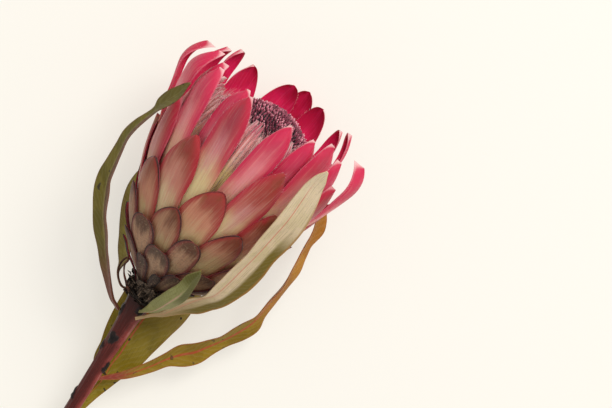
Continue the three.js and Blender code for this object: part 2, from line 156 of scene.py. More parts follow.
def noise(tree, place, scale, detail):
    inputs = {"Vector": place, "Scale": scale, "Detail": detail}
    return Field(tree, addNode(tree, "ShaderNodeTexNoise", inputs=inputs).outputs[0])


def unevenness(tree, x, y, z, detail=1.0):
    # Soft noise between 0 and 1, with features about 1 wide along each of three measures
    place = addNode(tree, "ShaderNodeCombineXYZ", inputs={0: x, 1: y, 2: z})
    return noise(tree, place.outputs[0], 1.0, detail)


def newTree(name, sockets):
    tree = bpy.data.node_groups.new(name, "GeometryNodeTree")
    tree.interface.new_socket("Geometry", in_out="INPUT", socket_type="NodeSocketGeometry")
    for label, kind in sockets.items():
        tree.interface.new_socket(label, in_out="INPUT", socket_type="NodeSocket" + kind)
    tree.interface.new_socket("Geometry", in_out="OUTPUT", socket_type="NodeSocketGeometry")
    given = {socket.name: Field(tree, socket) for socket in addNode(tree, "NodeGroupInput").outputs}
    return tree, given


def endTree(tree, geometry, material):
    real = addNode(tree, "GeometryNodeRealizeInstances", inputs={"Geometry": geometry})
    clad = {"Geometry": real.outputs[0], "Material": material}
    finish = addNode(tree, "GeometryNodeSetMaterial", inputs=clad)
    addNode(tree, "NodeGroupOutput", inputs={0: finish.outputs[0]})
    return tree


def named(tree, *names):
    # The values that points or faces carry, read in a geometry tree
    reads = [addNode(tree, "GeometryNodeInputNamedAttribute", inputs={"Name": name}) for name in names]
    return SimpleNamespace(**{name: Field(tree, node.outputs[0]) for name, node in zip(names, reads)})


def positions(tree):
    # The x, y and z of each point
    spot = addNode(tree, "ShaderNodeSeparateXYZ",
                   inputs={0: addNode(tree, "GeometryNodeInputPosition").outputs[0]})
    return [Field(tree, output) for output in spot.outputs]


def setOnPoints(tree, points, piece, direction, turns, sizes, seed):
    # Stands a piece on each point, with a turn and a size that chance picks between the two given
    upright = addNode(tree, "FunctionNodeAlignRotationToVector", {"axis": "Z"}, {"Vector": direction})
    wild = addNode(tree, "FunctionNodeRandomValue", {"data_type": "FLOAT_VECTOR"},
                   {0: turns[0], 1: turns[1], "Seed": seed})
    turned = addNode(tree, "FunctionNodeRotateRotation", {"rotation_space": "LOCAL"},
                     {"Rotation": upright.outputs[0], "Rotate By": wild.outputs[0]})
    size = addNode(tree, "FunctionNodeRandomValue", inputs={2: sizes[0], 3: sizes[1], "Seed": seed})
    standing = addNode(tree, "GeometryNodeInstanceOnPoints", inputs={
        "Points": points, "Instance": piece, "Rotation": turned.outputs[0], "Scale": size.outputs[1]})
    return standing.outputs[0]


def newMesh(name, places, faces=(), values=None):
    # A mesh in the world, with the values that its points carry
    mesh = bpy.data.meshes.new(name)
    mesh.from_pydata([tuple(place) for place in places], [], faces)
    for key, numbers in (values or {}).items():
        numbers = np.asarray(numbers, np.float32)
        kind, field = ("FLOAT_VECTOR", "vector") if numbers.ndim == 2 else ("FLOAT", "value")
        mesh.attributes.new(key, kind, "POINT").data.foreach_set(field, numbers.ravel())
    return mesh


def tubeFaces(rings, sides, rising=False):
    # The faces of a closed tube made of rings of points. The rings of a rising one go up the head's axis
    faces = []
    for ring in range(rings - 1):
        for side in range(sides):
            a, b = ring * sides + side, ring * sides + (side + 1) % sides
            faces.append((a, a + sides, b + sides, b) if rising else (a, b, b + sides, a + sides))
    first, last = range(sides), range((rings - 1) * sides, rings * sides)
    ends = (first, last[::-1]) if rising else (first[::-1], last)
    return faces + [tuple(end) for end in ends]


def newObject(name, data):
    made = bpy.data.objects.new(name, data)
    bpy.context.scene.collection.objects.link(made)
    return made


def finishPiece(name, mesh, replaced, sharpAngle):
    piece = newObject(name, mesh)
    piece.data.shade_smooth()
    piece.data.set_sharp_from_angle(angle=math.radians(sharpAngle))
    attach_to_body(piece, "root")
    if replaced:
        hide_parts(replaced)
    triangles = sum(len(face.vertices) - 2 for face in piece.data.polygons)
    say(f"{piece.name} has {triangles} triangles")
    return piece


def grow(name, mesh, tree, inputs, replaced=None, sharpAngle=50):
    # Runs a tree on a mesh and keeps the result as a plain mesh
    seedling = newObject(name + "Seedling", mesh)
    modifier = seedling.modifiers.new("growth", "NODES")
    modifier.node_group = tree
    for item in tree.interface.items_tree:
        if item.in_out == "INPUT" and item.name in inputs:
            modifier[item.identifier] = inputs[item.name]
    graph = bpy.context.evaluated_depsgraph_get()
    grown = bpy.data.meshes.new_from_object(seedling.evaluated_get(graph))
    bpy.data.objects.remove(seedling)
    return finishPiece(name, grown, replaced, sharpAngle)


def modelled(name, mesh, material, replaced=None, sharpAngle=50):
    mesh.materials.append(material)
    return finishPiece(name, mesh, replaced, sharpAngle)


def newMaterial(name, roughness, sheen=0.0, glow=0.0, glowRadius=(0.004, 0.0015, 0.001)):
    material = bpy.data.materials.new(name)
    material.use_nodes = True
    tree = material.node_tree
    fill(tree, tree.nodes["Principled BSDF"], {
        "Roughness": roughness,
        "IOR": 1.42,  # plant tissue under its cuticle
        "Specular IOR Level": 0.3,  # its fine relief scatters part of the gleam
        "Sheen Weight": sheen,
        "Subsurface Weight": glow,  # light that passes through the flesh
        "Subsurface Radius": glowRadius,
        "Subsurface Scale": 0.4,
    })
    return material, tree


def marks(tree, *names):
    # The piece's own attributes, read in a material
    reads = [addNode(tree, "ShaderNodeAttribute", {"attribute_name": name}) for name in names]
    return SimpleNamespace(**{name: Field(tree, node.outputs["Fac"]) for name, node in zip(names, reads)})


def speckle(tree, millimetres, detail=3.0):
    # Soft noise in the object's own space, whose features are about so wide
    place = addNode(tree, "ShaderNodeTexCoord").outputs["Object"]
    return noise(tree, place, 1000 / millimetres, detail)


def paint(base, *layers):
    # Lays colours over a base, each with the field that gives its share
    colour = linear(base) if isinstance(base, str) else base
    for share, over in layers:
        over = linear(over) if isinstance(over, str) else over
        mixed = {"Factor": share, 6: colour, 7: over}  # 6 and 7 are the sockets of the two colours
        colour = addNode(share.tree, "ShaderNodeMix", {"data_type": "RGBA"}, mixed).outputs[2]
    return colour


def dress(material, colour, height, millimetres, roughness=None):
    # Gives a material a colour, a relief of so many millimetres and, where told, a varying roughness
    tree = material.node_tree
    bump = addNode(tree, "ShaderNodeBump", inputs={"Height": height, "Distance": millimetres * 0.001})
    looks = {"Base Color": colour, "Normal": bump.outputs[0]}
    if roughness:
        looks["Roughness"] = roughness
    fill(tree, tree.nodes["Principled BSDF"], looks)
    return material


# The camera looks straight down, turned so that the stem points to the lower left of the picture
picture = {
    "width": 612,
    "height": 408,
    "roll": 51.34,
    "distance": 1.2,
    "subjectHeight": 0.045,
    "metresPerPixel": 0.00041,
    "headBaseAt": (147, 288.3),  # the pixel where the base of the head shows
    "sensorWidth": 36,
    "farthest": 10,
}


def makeCamera():
    roll = math.radians(picture["roll"])
    right = Vector((math.cos(roll), -math.sin(roll), 0))
    up = Vector((math.sin(roll), math.cos(roll), 0))
    focal = (picture["distance"] - picture["subjectHeight"]) / picture["metresPerPixel"]
    base = Vector(head["base"]) * 0.001
    perMetre = focal / (picture["distance"] - base.z)
    across = base.dot(right) - (picture["headBaseAt"][0] - picture["width"] / 2) / perMetre
    along = base.dot(up) - (picture["height"] / 2 - picture["headBaseAt"][1]) / perMetre
    lens = bpy.data.cameras.new("camera")
    lens.sensor_width = picture["sensorWidth"]
    lens.lens = focal * lens.sensor_width / picture["width"]
    lens.clip_end = picture["farthest"]
    camera = newObject("camera", lens)
    turn = Matrix((right, up, (0, 0, 1))).transposed()
    place = right * across + up * along + Vector((0, 0, picture["distance"]))
    camera.matrix_world = Matrix.Translation(place) @ turn.to_4x4()
    bpy.context.scene.camera = camera
    return right, up


pictureRight, pictureUp = makeCamera()
say("camera in place")


# The head's outline, and where each bract's tip stands on it
def tipHeight(n):
    zero, step = head["zeroTip"], head["tipStep"]
    free = zero * math.exp(step / zero * n) if n < 0 else zero + step * n + head["quickening"] * n * n
    blend = head["blend"]
    return -blend * math.log(math.exp(-free / blend) + math.exp(-head["length"] / blend))


def tipIndex(height):
    zero, step, quickening = head["zeroTip"], head["tipStep"], head["quickening"]
    if height < zero:
        return max(math.log(max(height, 1) / zero) * zero / step, head["firstScale"])
    over = min(height, head["cap"]) - zero
    return (math.sqrt(step ** 2 + 4 * quickening * over) - step) / (2 * quickening)


def bractRadius(n, height):
    outline = head["baseRadius"] + head["swell"] * (1 - math.exp(-max(height, 0) / head["swellLength"]))
    return outline - head["layer"] * (n - tipIndex(height))


def clamped(value, low=0.0, high=1.0):
    return min(max(value, low), high)


def smoothShare(value, start, end):
    if isinstance(value, Field):
        return value.smooth(start, end)
    share = clamped((value - start) / (end - start))
    return share ** 2 * (3 - 2 * share)


def fullReach(height, radius, sine):
    # How far from the axis something stands on the grown head, from its height, its place on the plain
    # outline and its azimuth's sine, which are numbers or fields
    left = larger(0 - sine, 0.0) ** 2.0
    right = larger(sine, 0.0) ** 2.0
    low = 1 - smoothShare(height, *head["bulgeFades"])
    bulge = low * (head["bulgeLeft"] * left + head["bulgeRight"] * right)
    fuller = head["fuller"] + head["fullerLeft"] * left + bulge
    return radius * (1 + smoothShare(height, *head["fullerBetween"]) * fuller)


def onHead(height, radius, azimuth):
    reach = fullReach(height, radius, math.sin(azimuth))
    return height, -reach * math.sin(azimuth), reach * math.cos(azimuth)


# What each blade's point carries: its number in the spiral, where it is rooted and ends, its width, how far
# from its tip it is full, how pointed it is, its azimuth, how it leans, stands out, twists, curls in and
# folds, and its thickness
bladeTraits = ("order", "root", "tip", "width", "shoulder", "point", "azimuth", "lean", "stand", "twist",
               "curl", "fold", "thickness")


def bladePoints(name, rows):
    # A point for each row of traits, where a trait left out is 0
    values = {trait: [row.get(trait, 0) for row in rows] for trait in bladeTraits}
    return newMesh(name, np.zeros((len(rows), 3)), values=values)


# How every blade is formed: over what it is uneven and sways, how far its unevenness changes its width, how
# it tapers to its root, how long the part near its tip is, and how thin its margins are
bladeForm = {
    "rowCrowding": 1.7,  # rows stand closer together towards the tip
    "unevenLength": 16,
    "unevenAcross": 0.7,
    "unevenSeed": 3.7,  # the seeds set one blade's unevenness and sway apart from the next one's
    "swayLength": 34,
    "swaySeed": 5.3,
    "unevenWidth": 0.14,
    "taper": 0.5,
    "taperPower": 1.2,
    "tipLength": 26,
    "flatTip": 0.5,  # the share of its crown that it loses at the tip
    "rippleAlong": 0.6,
    "rippleAtTip": 1.4,
    "thinMargin": 0.45,
    "hairForward": 0.8,
    "hairAside": 0.8,
}


# The tree that grows every blade of the head: it bends a closed flat sheet for each point round the axis
def bladeTree(name, material):
    sizes = ("Blunt Tip", "Widest Angle", "Curl Length", "Crown", "Ripple", "Sway", "Hair Lean")
    tree, given = newTree(name, {"Columns": "Int", "Rows": "Int"} | {size: "Float" for size in sizes})
    sheet = addNode(tree, "GeometryNodeMeshCube", inputs={
        "Size": (2, 1, 1), "Vertices X": given["Columns"], "Vertices Y": given["Rows"], "Vertices Z": 2})
    blades = addNode(tree, "GeometryNodeInstanceOnPoints",
                     inputs={"Points": given["Geometry"], "Instance": sheet.outputs[0]})
    real = addNode(tree, "GeometryNodeRealizeInstances", inputs={"Geometry": blades.outputs[0]})
    across, flatAlong, flatDeep = positions(tree)
    blade = named(tree, *bladeTraits)
    inner = 0.5 - flatDeep
    blunt = given["Blunt Tip"]
    fromTip = blunt + (blade.tip - blade.root - blunt) * (0.5 - flatAlong) ** bladeForm["rowCrowding"]
    height = blade.tip - fromTip
    uneven = unevenness(tree, height / bladeForm["unevenLength"], across * bladeForm["unevenAcross"],
                        blade.order * bladeForm["unevenSeed"])
    swayed = unevenness(tree, height / bladeForm["swayLength"], 0.0, blade.order * bladeForm["swaySeed"],
                        detail=0.0)

    roundness = (1 - (1 - reckon("MINIMUM", fromTip / blade.shoulder, 1.0)) ** 2.0) ** blade.point
    pastShoulder = larger(fromTip - blade.shoulder, 0.0) / blade.tip
    taper = 1 - bladeForm["taper"] * pastShoulder ** bladeForm["taperPower"]
    risen = larger(height, 0.0)
    outline = head["baseRadius"] + head["swell"] * (1 - reckon("EXPONENT", risen / -head["swellLength"]))
    zero, step, quickening = head["zeroTip"], head["tipStep"], head["quickening"]
    low = reckon("LOGARITHM", larger(height, 1.0) / zero, math.e) * (zero / step)
    over = larger(reckon("MINIMUM", height, head["cap"]) - zero, 0.0)
    high = (reckon("SQRT", over * (4 * quickening) + step ** 2) - step) / (2 * quickening)
    isLow = reckon("LESS_THAN", height, zero)
    tipHere = larger(low, float(head["firstScale"])) * isLow + high * (1 - isLow)
    curled = blade.curl * larger(1 - fromTip / given["Curl Length"], 0.0) ** 2.0
    standing = (blade.stand + blade.twist * across) * (risen / blade.tip) ** 3.0
    plain = outline - head["layer"] * (blade.order - tipHere) - curled + standing
    halfAngle = reckon("MINIMUM", roundness * taper * blade.width / 2 / plain, given["Widest Angle"])
    halfAngle = halfAngle * (1 + bladeForm["unevenWidth"] * (uneven - 0.5))
    grown = larger(height / blade.tip, 0.0) ** 2.0
    sway = given["Sway"] * (swayed - 0.5) * grown / plain
    turn = blade.azimuth + blade.lean * grown + across * halfAngle + sway
    tipward = larger(1 - fromTip / bladeForm["tipLength"], 0.0)
    crown = given["Crown"] * (1 - across * across) * (1 - bladeForm["flatTip"] * tipward)
    folded = blade.fold * across * across * tipward
    rippled = given["Ripple"] * (uneven - 0.5)
    rippled = rippled * (bladeForm["rippleAlong"] + bladeForm["rippleAtTip"] * tipward)
    depth = blade.thickness * (1 - bladeForm["thinMargin"] * abs(across) ** 3.0)
    radius = plain + crown - folded + rippled - inner * depth
    sine = reckon("SINE", turn)
    cosine = reckon("COSINE", turn)
    reach = fullReach(height, radius, sine)
    # from the head's frame to the world's, where nothing reaches below the surface
    baseX, baseY, baseZ = head["base"]
    forward, upward = tilted(height, reach * cosine)
    place = addNode(tree, "ShaderNodeCombineXYZ", inputs={
        0: (forward + baseX) * 0.001, 1: (0 - reach * sine + baseY) * 0.001,
        2: larger((upward + baseZ) * 0.001, 0.0)})

    # hairs on a margin grow towards the tip, aside and outwards
    aside = across * roundness * bladeForm["hairAside"]
    kept = {
        "across": across, "fromTip": fromTip, "height": height, "inner": inner,
        "chord": across * halfAngle * plain,
        "edge": (1 - abs(across)) * halfAngle * plain,
        "growthX": across * 0 + bladeForm["hairForward"],
        "growthY": 0 - aside * cosine - given["Hair Lean"] * sine,
        "growthZ": given["Hair Lean"] * cosine - aside * sine,
    }
    geometry = real.outputs[0]
    for key, field in kept.items():
        stored = addNode(tree, "GeometryNodeStoreNamedAttribute",
                         inputs={"Geometry": geometry, "Name": key, "Value": field})
        geometry = stored.outputs[0]
    bent = {"Geometry": geometry, "Position": place.outputs[0]}
    return endTree(tree, addNode(tree, "GeometryNodeSetPosition", inputs=bent).outputs[0], material)


# Scales and bracts, each by its number in the spiral
bracts = {
    "scaleOrders": (-14, 12),
    "orders": (13, 52),
    "azimuthOfZero": -9.9,
    "widest": 19.0,
    "widestIndex": 32,
    "widthSpread": 38,
    "narrowFrom": 22,  # from here on each is narrower than the one before it
    "narrowing": 0.42,
    "widthThere": 17.6,
    "narrowest": 11.4,
    "shoulder": 0.45,  # how many widths from its tip a scale is full, and what later ones add to that
    "laterShoulders": ((4, 10, 0.45), (18, 16, 0.5)),
    "lateBetween": (12, 32),  # late bracts are more pointed and more folded
    "pointed": (0.62, 0.8),
    "folds": (0.3, 2.2),
    "scaleThickness": 0.7,
    "thickness": 0.8,
    "thick": {25: 1.3},  # the one that the head lies on
    # what sets single bracts apart: how far they grew past their place, how far their tips lean, stand out
    # before they curl in, and curl, how wide they are and how pointed
    "rise": {-7: 3, -2: 3, 0: 1, 5: 2, 8: 3.2, 10: 0.6, 13: 1.5, 16: 2.1, 18: 0.4, 21: 1.8, 23: -3.6,
             24: -1.7, 26: -0.6, 29: 0.8, 31: -9.8, 32: -3.6, 33: 3.4, 34: 2.7, 35: -14, 36: -1.5, 37: 3.8,
             38: 3.2, 39: -1, 40: -0.6, 41: 1.3, 44: 2.8, 45: -1.9, 46: 1.6, 48: 2.2, 51: 1.8},
    "lean": {0: -1.5, 5: 5.4, 8: -1.6, 10: 8, 13: 5.7, 18: 3.9, 21: 4.3, 23: -11.9, 24: -10.8, 26: 2.7,
             29: 5.4, 31: 4.5, 32: -9.4, 33: 6.2, 34: -5.4, 36: -5.4, 38: 2.7, 39: -1.9, 40: -5, 41: 2.8,
             42: 4.5, 44: 17.1, 45: -1.7, 46: -7.2, 48: 22.6, 49: -1.7, 50: 3.6},
    "stand": {36: 7, 40: 4, 44: 3.5, 49: 3},
    "twist": {36: -1, 40: 2.2},
    "moreCurl": {36: 6.5, 40: 3.5, 44: 4.5, 49: 3, 52: 1.5},
    "wider": {-7: 1.4, -2: 1.3, 0: 1.35, 3: 1.4, 5: 1.15, 33: 1.25, 36: 0.7, 38: 1.25, 40: 0.8, 41: 0.6,
              43: 0.65, 46: 1.3, 48: 0.3, 51: 1.2},
    "points": {-5: 0.3, -2: 0.3, 0: 0.25, 3: 0.32, 5: 0.38, 8: 0.4, 33: 0.62, 36: 0.9, 38: 0.45, 40: 0.8,
               46: 0.45, 51: 0.45},
    "curl": 3.0,
    "curlBetween": (30, 38),
    "attachScales": (1.8, 8.2),
    "attachBracts": (11.5, 22.3),
    "rootDepth": 3.5,
}


def bractWidth(n):
    grown = bracts["widest"] * math.exp(-(((n - bracts["widestIndex"]) / bracts["widthSpread"]) ** 2))
    past = bracts["widthThere"] - bracts["narrowing"] * (n - bracts["narrowFrom"])
    return min(grown, max(past, bracts["narrowest"])) * bracts["wider"].get(n, 1)


def shareOfWay(n, start, end):
    return clamped((n - start) / (end - start))


def bractPoints(name, orders, attach, thickness):
    first, last = orders
    plain, late = bracts["pointed"]
    flat, folded = bracts["folds"]
    rows = []
    for n in range(first, last + 1):
        width = bractWidth(n)
        lateness = shareOfWay(n, *bracts["lateBetween"])
        later = sum(more * clamped((n - start) / over) for start, over, more in bracts["laterShoulders"])
        curl = bracts["curl"] * shareOfWay(n, *bracts["curlBetween"])
        rows.append({
            "order": n,
            "root": attach[0] + (attach[1] - attach[0]) * (n - first) / (last - first) - bracts["rootDepth"],
            "tip": tipHeight(n) + bracts["rise"].get(n, 0),
            "width": width,
            "shoulder": width * (bracts["shoulder"] + later),
            "point": bracts["points"].get(n, plain + (late - plain) * lateness),
            "azimuth": math.radians((bracts["azimuthOfZero"] + head["goldenAngle"] * n) % 360),
            "lean": math.radians(bracts["lean"].get(n, 0)),
            "stand": bracts["stand"].get(n, 0),
            "twist": bracts["twist"].get(n, 0),
            "curl": curl + bracts["moreCurl"].get(n, 0),
            "fold": flat + (folded - flat) * lateness,
            "thickness": bracts["thick"].get(n, thickness),
        })
    return bladePoints(name, rows)


# Bract skin: firm living tissue with a waxy cuticle, finely lined lengthwise: cream at the foot, dusty pink
# above, and crimson at the tip and margins. The lowest are dry and grey-brown with dark rims
def bractMaterial():
    material, tree = newMaterial("bractSkinWaxy", 0.42, sheen=0.04, glow=0.1)
    v = marks(tree, "order", "fromTip", "height", "across", "chord", "edge", "inner")
    seedOfBlade = v.order * 7.3
    blotch = unevenness(tree, v.chord / 6, v.height / 12, seedOfBlade, detail=2.0)
    lines = unevenness(tree, v.chord / 0.42, v.height / 16, seedOfBlade, detail=2.0)
    broadLines = unevenness(tree, v.chord / 1.5, v.height / 26, seedOfBlade, detail=1.0)
    grain = speckle(tree, 0.9)
    # the share of the way from the first scale to the last bract
    stage = (v.order - bracts["scaleOrders"][0]) / (bracts["orders"][1] - bracts["scaleOrders"][0])
    early = 1 - v.order.smooth(4.0, 16.0)
    late = v.order.smooth(8.0, 36.0)
    inward = abs(v.across)

    def byStage(*hexColours):
        places = (0.0, 0.21, 0.33, 0.41, 0.53, 0.61, 0.66, 0.73, 0.8, 1.0)
        return addNode(tree, "ShaderNodeValToRGB", {"stops": list(zip(places, hexColours))},
                       {"Fac": stage}).outputs[0]

    foot = byStage("#3c2f26", "#8c7054", "#ac9068", "#b8a374", "#c6b680", "#d8c494", "#dcc68e", "#e0cc96",
                   "#e0ba96", "#dca094")
    middle = byStage("#3f3026", "#aa866a", "#b08668", "#a87a5c", "#c8866a", "#c07a68", "#bf6c60", "#c06464",
                     "#e87278", "#d8566e")
    end = byStage("#221914", "#453226", "#54301e", "#62301a", "#8c3826", "#86281c", "#a83a32", "#b43442",
                  "#d4385a", "#cc2c54")
    margin = byStage("#241a16", "#6e2a2c", "#7e2e2e", "#862a24", "#a02a2c", "#aa2230", "#b2243c", "#bc2444",
                     "#cc2850", "#c8224c")
    reach = v.fromTip + (blotch - 0.5) * 15 + (lines - 0.5) * 4 + (broadLines - 0.5) * 6
    outside = paint(
        foot,
        (1 - reach.smooth(9 + 14 * late, 20 + 24 * late), middle),
        (0.92 * (1 - reach.smooth(2 + 5 * late, 9 + 18 * late)), end),
        # crimson runs down both margins
        (0.92 * (1 - (v.edge + (lines - 0.5) * 1.6).smooth(0.4, 2.8 + 1.4 * late))
         * (1 - v.fromTip.smooth(12 + 12 * late, 26 + 24 * late)), margin),
        # a pale gleam down the middle of the upper ones, and a dusty smudge behind the tip
        (0.3 * v.order.smooth(24.0, 30.0) * (1 - inward.smooth(0.0, 0.7)) * reach.smooth(14.0, 24.0)
         * (1 - reach.smooth(28.0, 40.0)), "#e9b4b6"),
        (0.45 * v.order.smooth(28.0, 33.0) * (1 - 0.6 * v.order.smooth(35.0, 38.0))
         * (1 - inward.smooth(0.05, 0.75)) * reach.smooth(3.0, 8.0) * (1 - reach.smooth(13.0, 26.0)),
         "#84384a"),
        (0.6 * v.order.smooth(17.0, 21.0) * (1 - v.order.smooth(27.0, 31.0)) * blotch.smooth(0.46, 0.62)
         * (1 - reach.smooth(4.0, 14.0)), "#7c5a34"),
        (0.35 * v.order.smooth(14.0, 20.0) * (1 - v.order.smooth(28.0, 33.0)) * (1 - blotch).smooth(0.5, 0.62)
         * (1 - reach.smooth(8.0, 20.0)), "#ac4240"),
        # fine lines and dust
        (0.1 * lines.smooth(0.52, 0.7) * v.fromTip.smooth(2.0, 12.0), "#ecd3bb"),
        (0.16 * (1 - lines).smooth(0.52, 0.68), margin),
        (0.5 * early * grain.smooth(0.5, 0.66), "#6d5a4d"),
        (0.3 * early * (1 - grain).smooth(0.52, 0.7), "#bda283"),
        # the rims: dark and dry below, brown and then pale above, where the pale tips of the upper ones are
        # partly a painted highlight
        (0.95 * (1 - (v.edge + v.fromTip * 0.08 + (grain - 0.5) * 0.8).smooth(0.45, 1.5))
         * (1 - v.order.smooth(17.0, 27.0)) * (1 - v.fromTip.smooth(8.0, 18.0)), "#2c211d"),
        (0.3 * (1 - (v.edge + (grain - 0.5) * 0.4).smooth(0.0, 0.26)) * v.order.smooth(28.0, 33.0)
         * (1 - v.fromTip.smooth(14.0, 40.0)), "#dc98a4"),
        # a real pale margin on the upper bracts, widened over their tips into a painted highlight
        (0.7 * (1 - (v.edge * 1.1 + v.fromTip * 0.2).smooth(0.1, 0.9)) * v.order.smooth(30.0, 34.0),
         "#f6cfcc"),
    )
    inside = paint(
        "#dd1c58",
        ((1 - blotch).smooth(0.35, 0.62), "#c41144"),
        (0.3 * lines.smooth(0.5, 0.7), "#e84a78"),
        (0.6 * v.fromTip.smooth(24.0, 44.0), "#cf8580"),
        (0.4 * (1 - (v.edge + v.fromTip * 0.03).smooth(0.0, 0.5)), "#e9a9b2"),
    )
    colour = paint(outside, (v.inner.smooth(0.6, 0.9), inside))
    return dress(material, colour, lines * 0.7 + broadLines * 0.9 + grain * 0.35, 0.28,
                 0.36 + 0.2 * grain + 0.2 * early)


blades = bladeTree("bladesOfTheHead", bractMaterial())
common = {"Widest Angle": math.radians(24), "Curl Length": 14.0, "Crown": 0.35, "Hair Lean": 0.3}
points = bractPoints("scalePoints", bracts["scaleOrders"], bracts["attachScales"], bracts["scaleThickness"])
scales = grow("basalScales", points, blades, common | {
    "Columns": 13, "Rows": 20, "Blunt Tip": 0.2, "Ripple": 0.45, "Sway": 0.0}, "basal_scales")
points = bractPoints("bractPoints", bracts["orders"], bracts["attachBracts"], bracts["thickness"])
involucre = grow("involucre", points, blades, common | {
    "Columns": 17, "Rows": 40, "Blunt Tip": 0.15, "Ripple": 0.75, "Sway": 1.4}, "bracts")


# Hairs. Their own lengths and the clearance are in metres, and densities in hairs a square metre
down = {
    "clearance": 0.004,  # no hairs below this height, where the head lies on the surface
    "onMargin": 0.99,  # a point this far out is on a blade's margin
    "fringeAtTip": 1.3,  # the share of hairs at a tip, and the millimetres from it over which 1 is lost
    "fringeFades": 22,
    "fringeFrom": 26,  # the first bract with a fringe, and after how many more it is full
    "fringeGrows": 8,
    "ciliaAtTip": 1.2,
    "ciliaFade": 8,
    "silkFrom": 62,  # the heights where the silk begins and ends, and how gently it does
    "silkGrows": 8,
    "silkTo": 86,
    "silkFades": 4,
    "tipRadius": 0.000006,
    "sizes": (0.4, 1.2),  # the least and the most of the length and radius below
    "margins": {"Density": 1.3e6, "Length": 0.0009, "Radius": 0.000035, "Spread": 0.4, "Seed": 3},
    "cilia": {"Density": 4e6, "Length": 0.0006, "Radius": 0.00005, "Spread": 0.4, "Seed": 4},
    "silk": {"Density": 0.9e6, "Length": 0.006, "Radius": 0.00009, "Spread": 0.16, "Seed": 6},
}


# Thin cones on the faces of a blade piece, as dense as its own share says
def hairTree(name, material):
    sizes = ("Density", "Length", "Radius", "Spread")
    tree, given = newTree(name, {size: "Float" for size in sizes} | {"Seed": "Int"})
    hairy = named(tree, "hairShare", "growthX", "growthY", "growthZ")
    spots = addNode(tree, "GeometryNodeDistributePointsOnFaces", inputs={
        "Mesh": given["Geometry"], "Seed": given["Seed"], "Density": given["Density"] * hairy.hairShare})
    # the growth is in the head's frame, so it is turned as the head is
    forward, upward = tilted(hairy.growthX, hairy.growthZ)
    growth = addNode(tree, "ShaderNodeCombineXYZ", inputs={0: forward, 1: hairy.growthY, 2: upward})
    hair = addNode(tree, "GeometryNodeMeshCone", inputs={
        "Vertices": 3, "Side Segments": 1, "Fill Segments": 1, "Radius Top": down["tipRadius"],
        "Radius Bottom": given["Radius"], "Depth": given["Length"]})
    spread = given["Spread"]
    hairs = setOnPoints(tree, spots.outputs["Points"], hair.outputs[0], growth.outputs[0],
                        (0 - spread, spread), down["sizes"], given["Seed"])
    return endTree(tree, hairs, material)


# Down: fine dry hairs, silvery where they catch the light
def downMaterial(name, shade, light):
    material, tree = newMaterial(name, 0.6, sheen=0.4)
    colour = paint(shade, (speckle(tree, 4).smooth(0.35, 0.65), light))
    return dress(material, colour, speckle(tree, 0.5), 0.02)


def haired(piece, rule):
    # A copy of a blade piece's mesh, with the share of hairs that a rule gives to each of its points
    mesh = piece.data.copy()
    count = len(mesh.vertices)
    v = SimpleNamespace()
    for name in ("order", "fromTip", "across", "edge", "inner", "height"):
        numbers = np.zeros(count, np.float32)
        mesh.attributes[name].data.foreach_get("value", numbers)
        setattr(v, name, numbers)
    places = np.zeros(count * 3, np.float32)
    mesh.vertices.foreach_get("co", places)
    clear = places.reshape(-1, 3)[:, 2] > down["clearance"]
    share = mesh.attributes.new("hairShare", "FLOAT", "POINT")
    share.data.foreach_set("value", (rule(v) * clear).astype(np.float32))
    return mesh


def upperMargins(v):
    # the margins of the later bracts, most of all near their tips
    onMargin = np.abs(v.across) > down["onMargin"]
    nearTip = np.clip(down["fringeAtTip"] - v.fromTip / down["fringeFades"], 0, 1)
    return onMargin * nearTip * np.clip((v.order - down["fringeFrom"]) / down["fringeGrows"], 0, 1)


def scaleMargins(v):
    onMargin = np.abs(v.across) > down["onMargin"]
    return onMargin * np.clip(down["ciliaAtTip"] - v.fromTip / down["ciliaFade"], 0, 1)


marginHairs = hairTree("hairsOfTheMargins", downMaterial("marginDownWhite", "#ecd2cf", "#f7ebe6"))
grow("bractFringe", haired(involucre, upperMargins), marginHairs, down["margins"])
cilia = hairTree("ciliaOfTheScales", downMaterial("scaleCiliaDry", "#4a3931", "#75604f"))
grow("scaleCilia", haired(scales, scaleMargins), cilia, down["cilia"])


# Crumbled dry scales round the head's foot
crumbs = {
    "count": 120,
    "roots": (-7.5, 2.0),
    "lengths": (3.0, 6.0),
    "top": 4.5,
    "leftTop": 0.5,  # on the left, which begins at this sine of the azimuth, they end lower down
    "leftFrom": -0.5,
    "widths": (2.2, 5.0),
    "shoulders": (0.4, 1),
    "pointed": (0.4, 0.9),
    "leans": (-0.4, 0.4),
    "curls": (-0.8, 1),
    "folds": (-2, 1.5),
    "thickness": 0.3,
    "layer": -16,  # how far in they lie, as a bract's order: less, the higher they are rooted, and by chance
    "layerSlope": 0.8,
    "layerLuck": (-1.5, 1.5),
    "seed": 21,
}


# Dead scale: papery, grey-brown, with torn black edges and dusty highlights
def crumbMaterial():
    material, tree = newMaterial("scaleDeadPapery", 0.85)
    v = marks(tree, "order", "height", "chord", "edge", "fromTip")
    fibres = unevenness(tree, v.chord / 0.3, v.height / 5, v.order * 7.3, detail=3.0)
    grain = speckle(tree, 0.7)
    colour = paint(
        "#463a30",
        (fibres.smooth(0.45, 0.62), "#7c6654"),
        (0.7 * grain.smooth(0.52, 0.68), "#8d7c6c"),
        (0.9 * (1 - (v.edge + (grain - 0.5) * 0.7).smooth(0.1, 0.6)), "#171210"),
    )
    return dress(material, colour, fibres + grain * 0.6, 0.3)


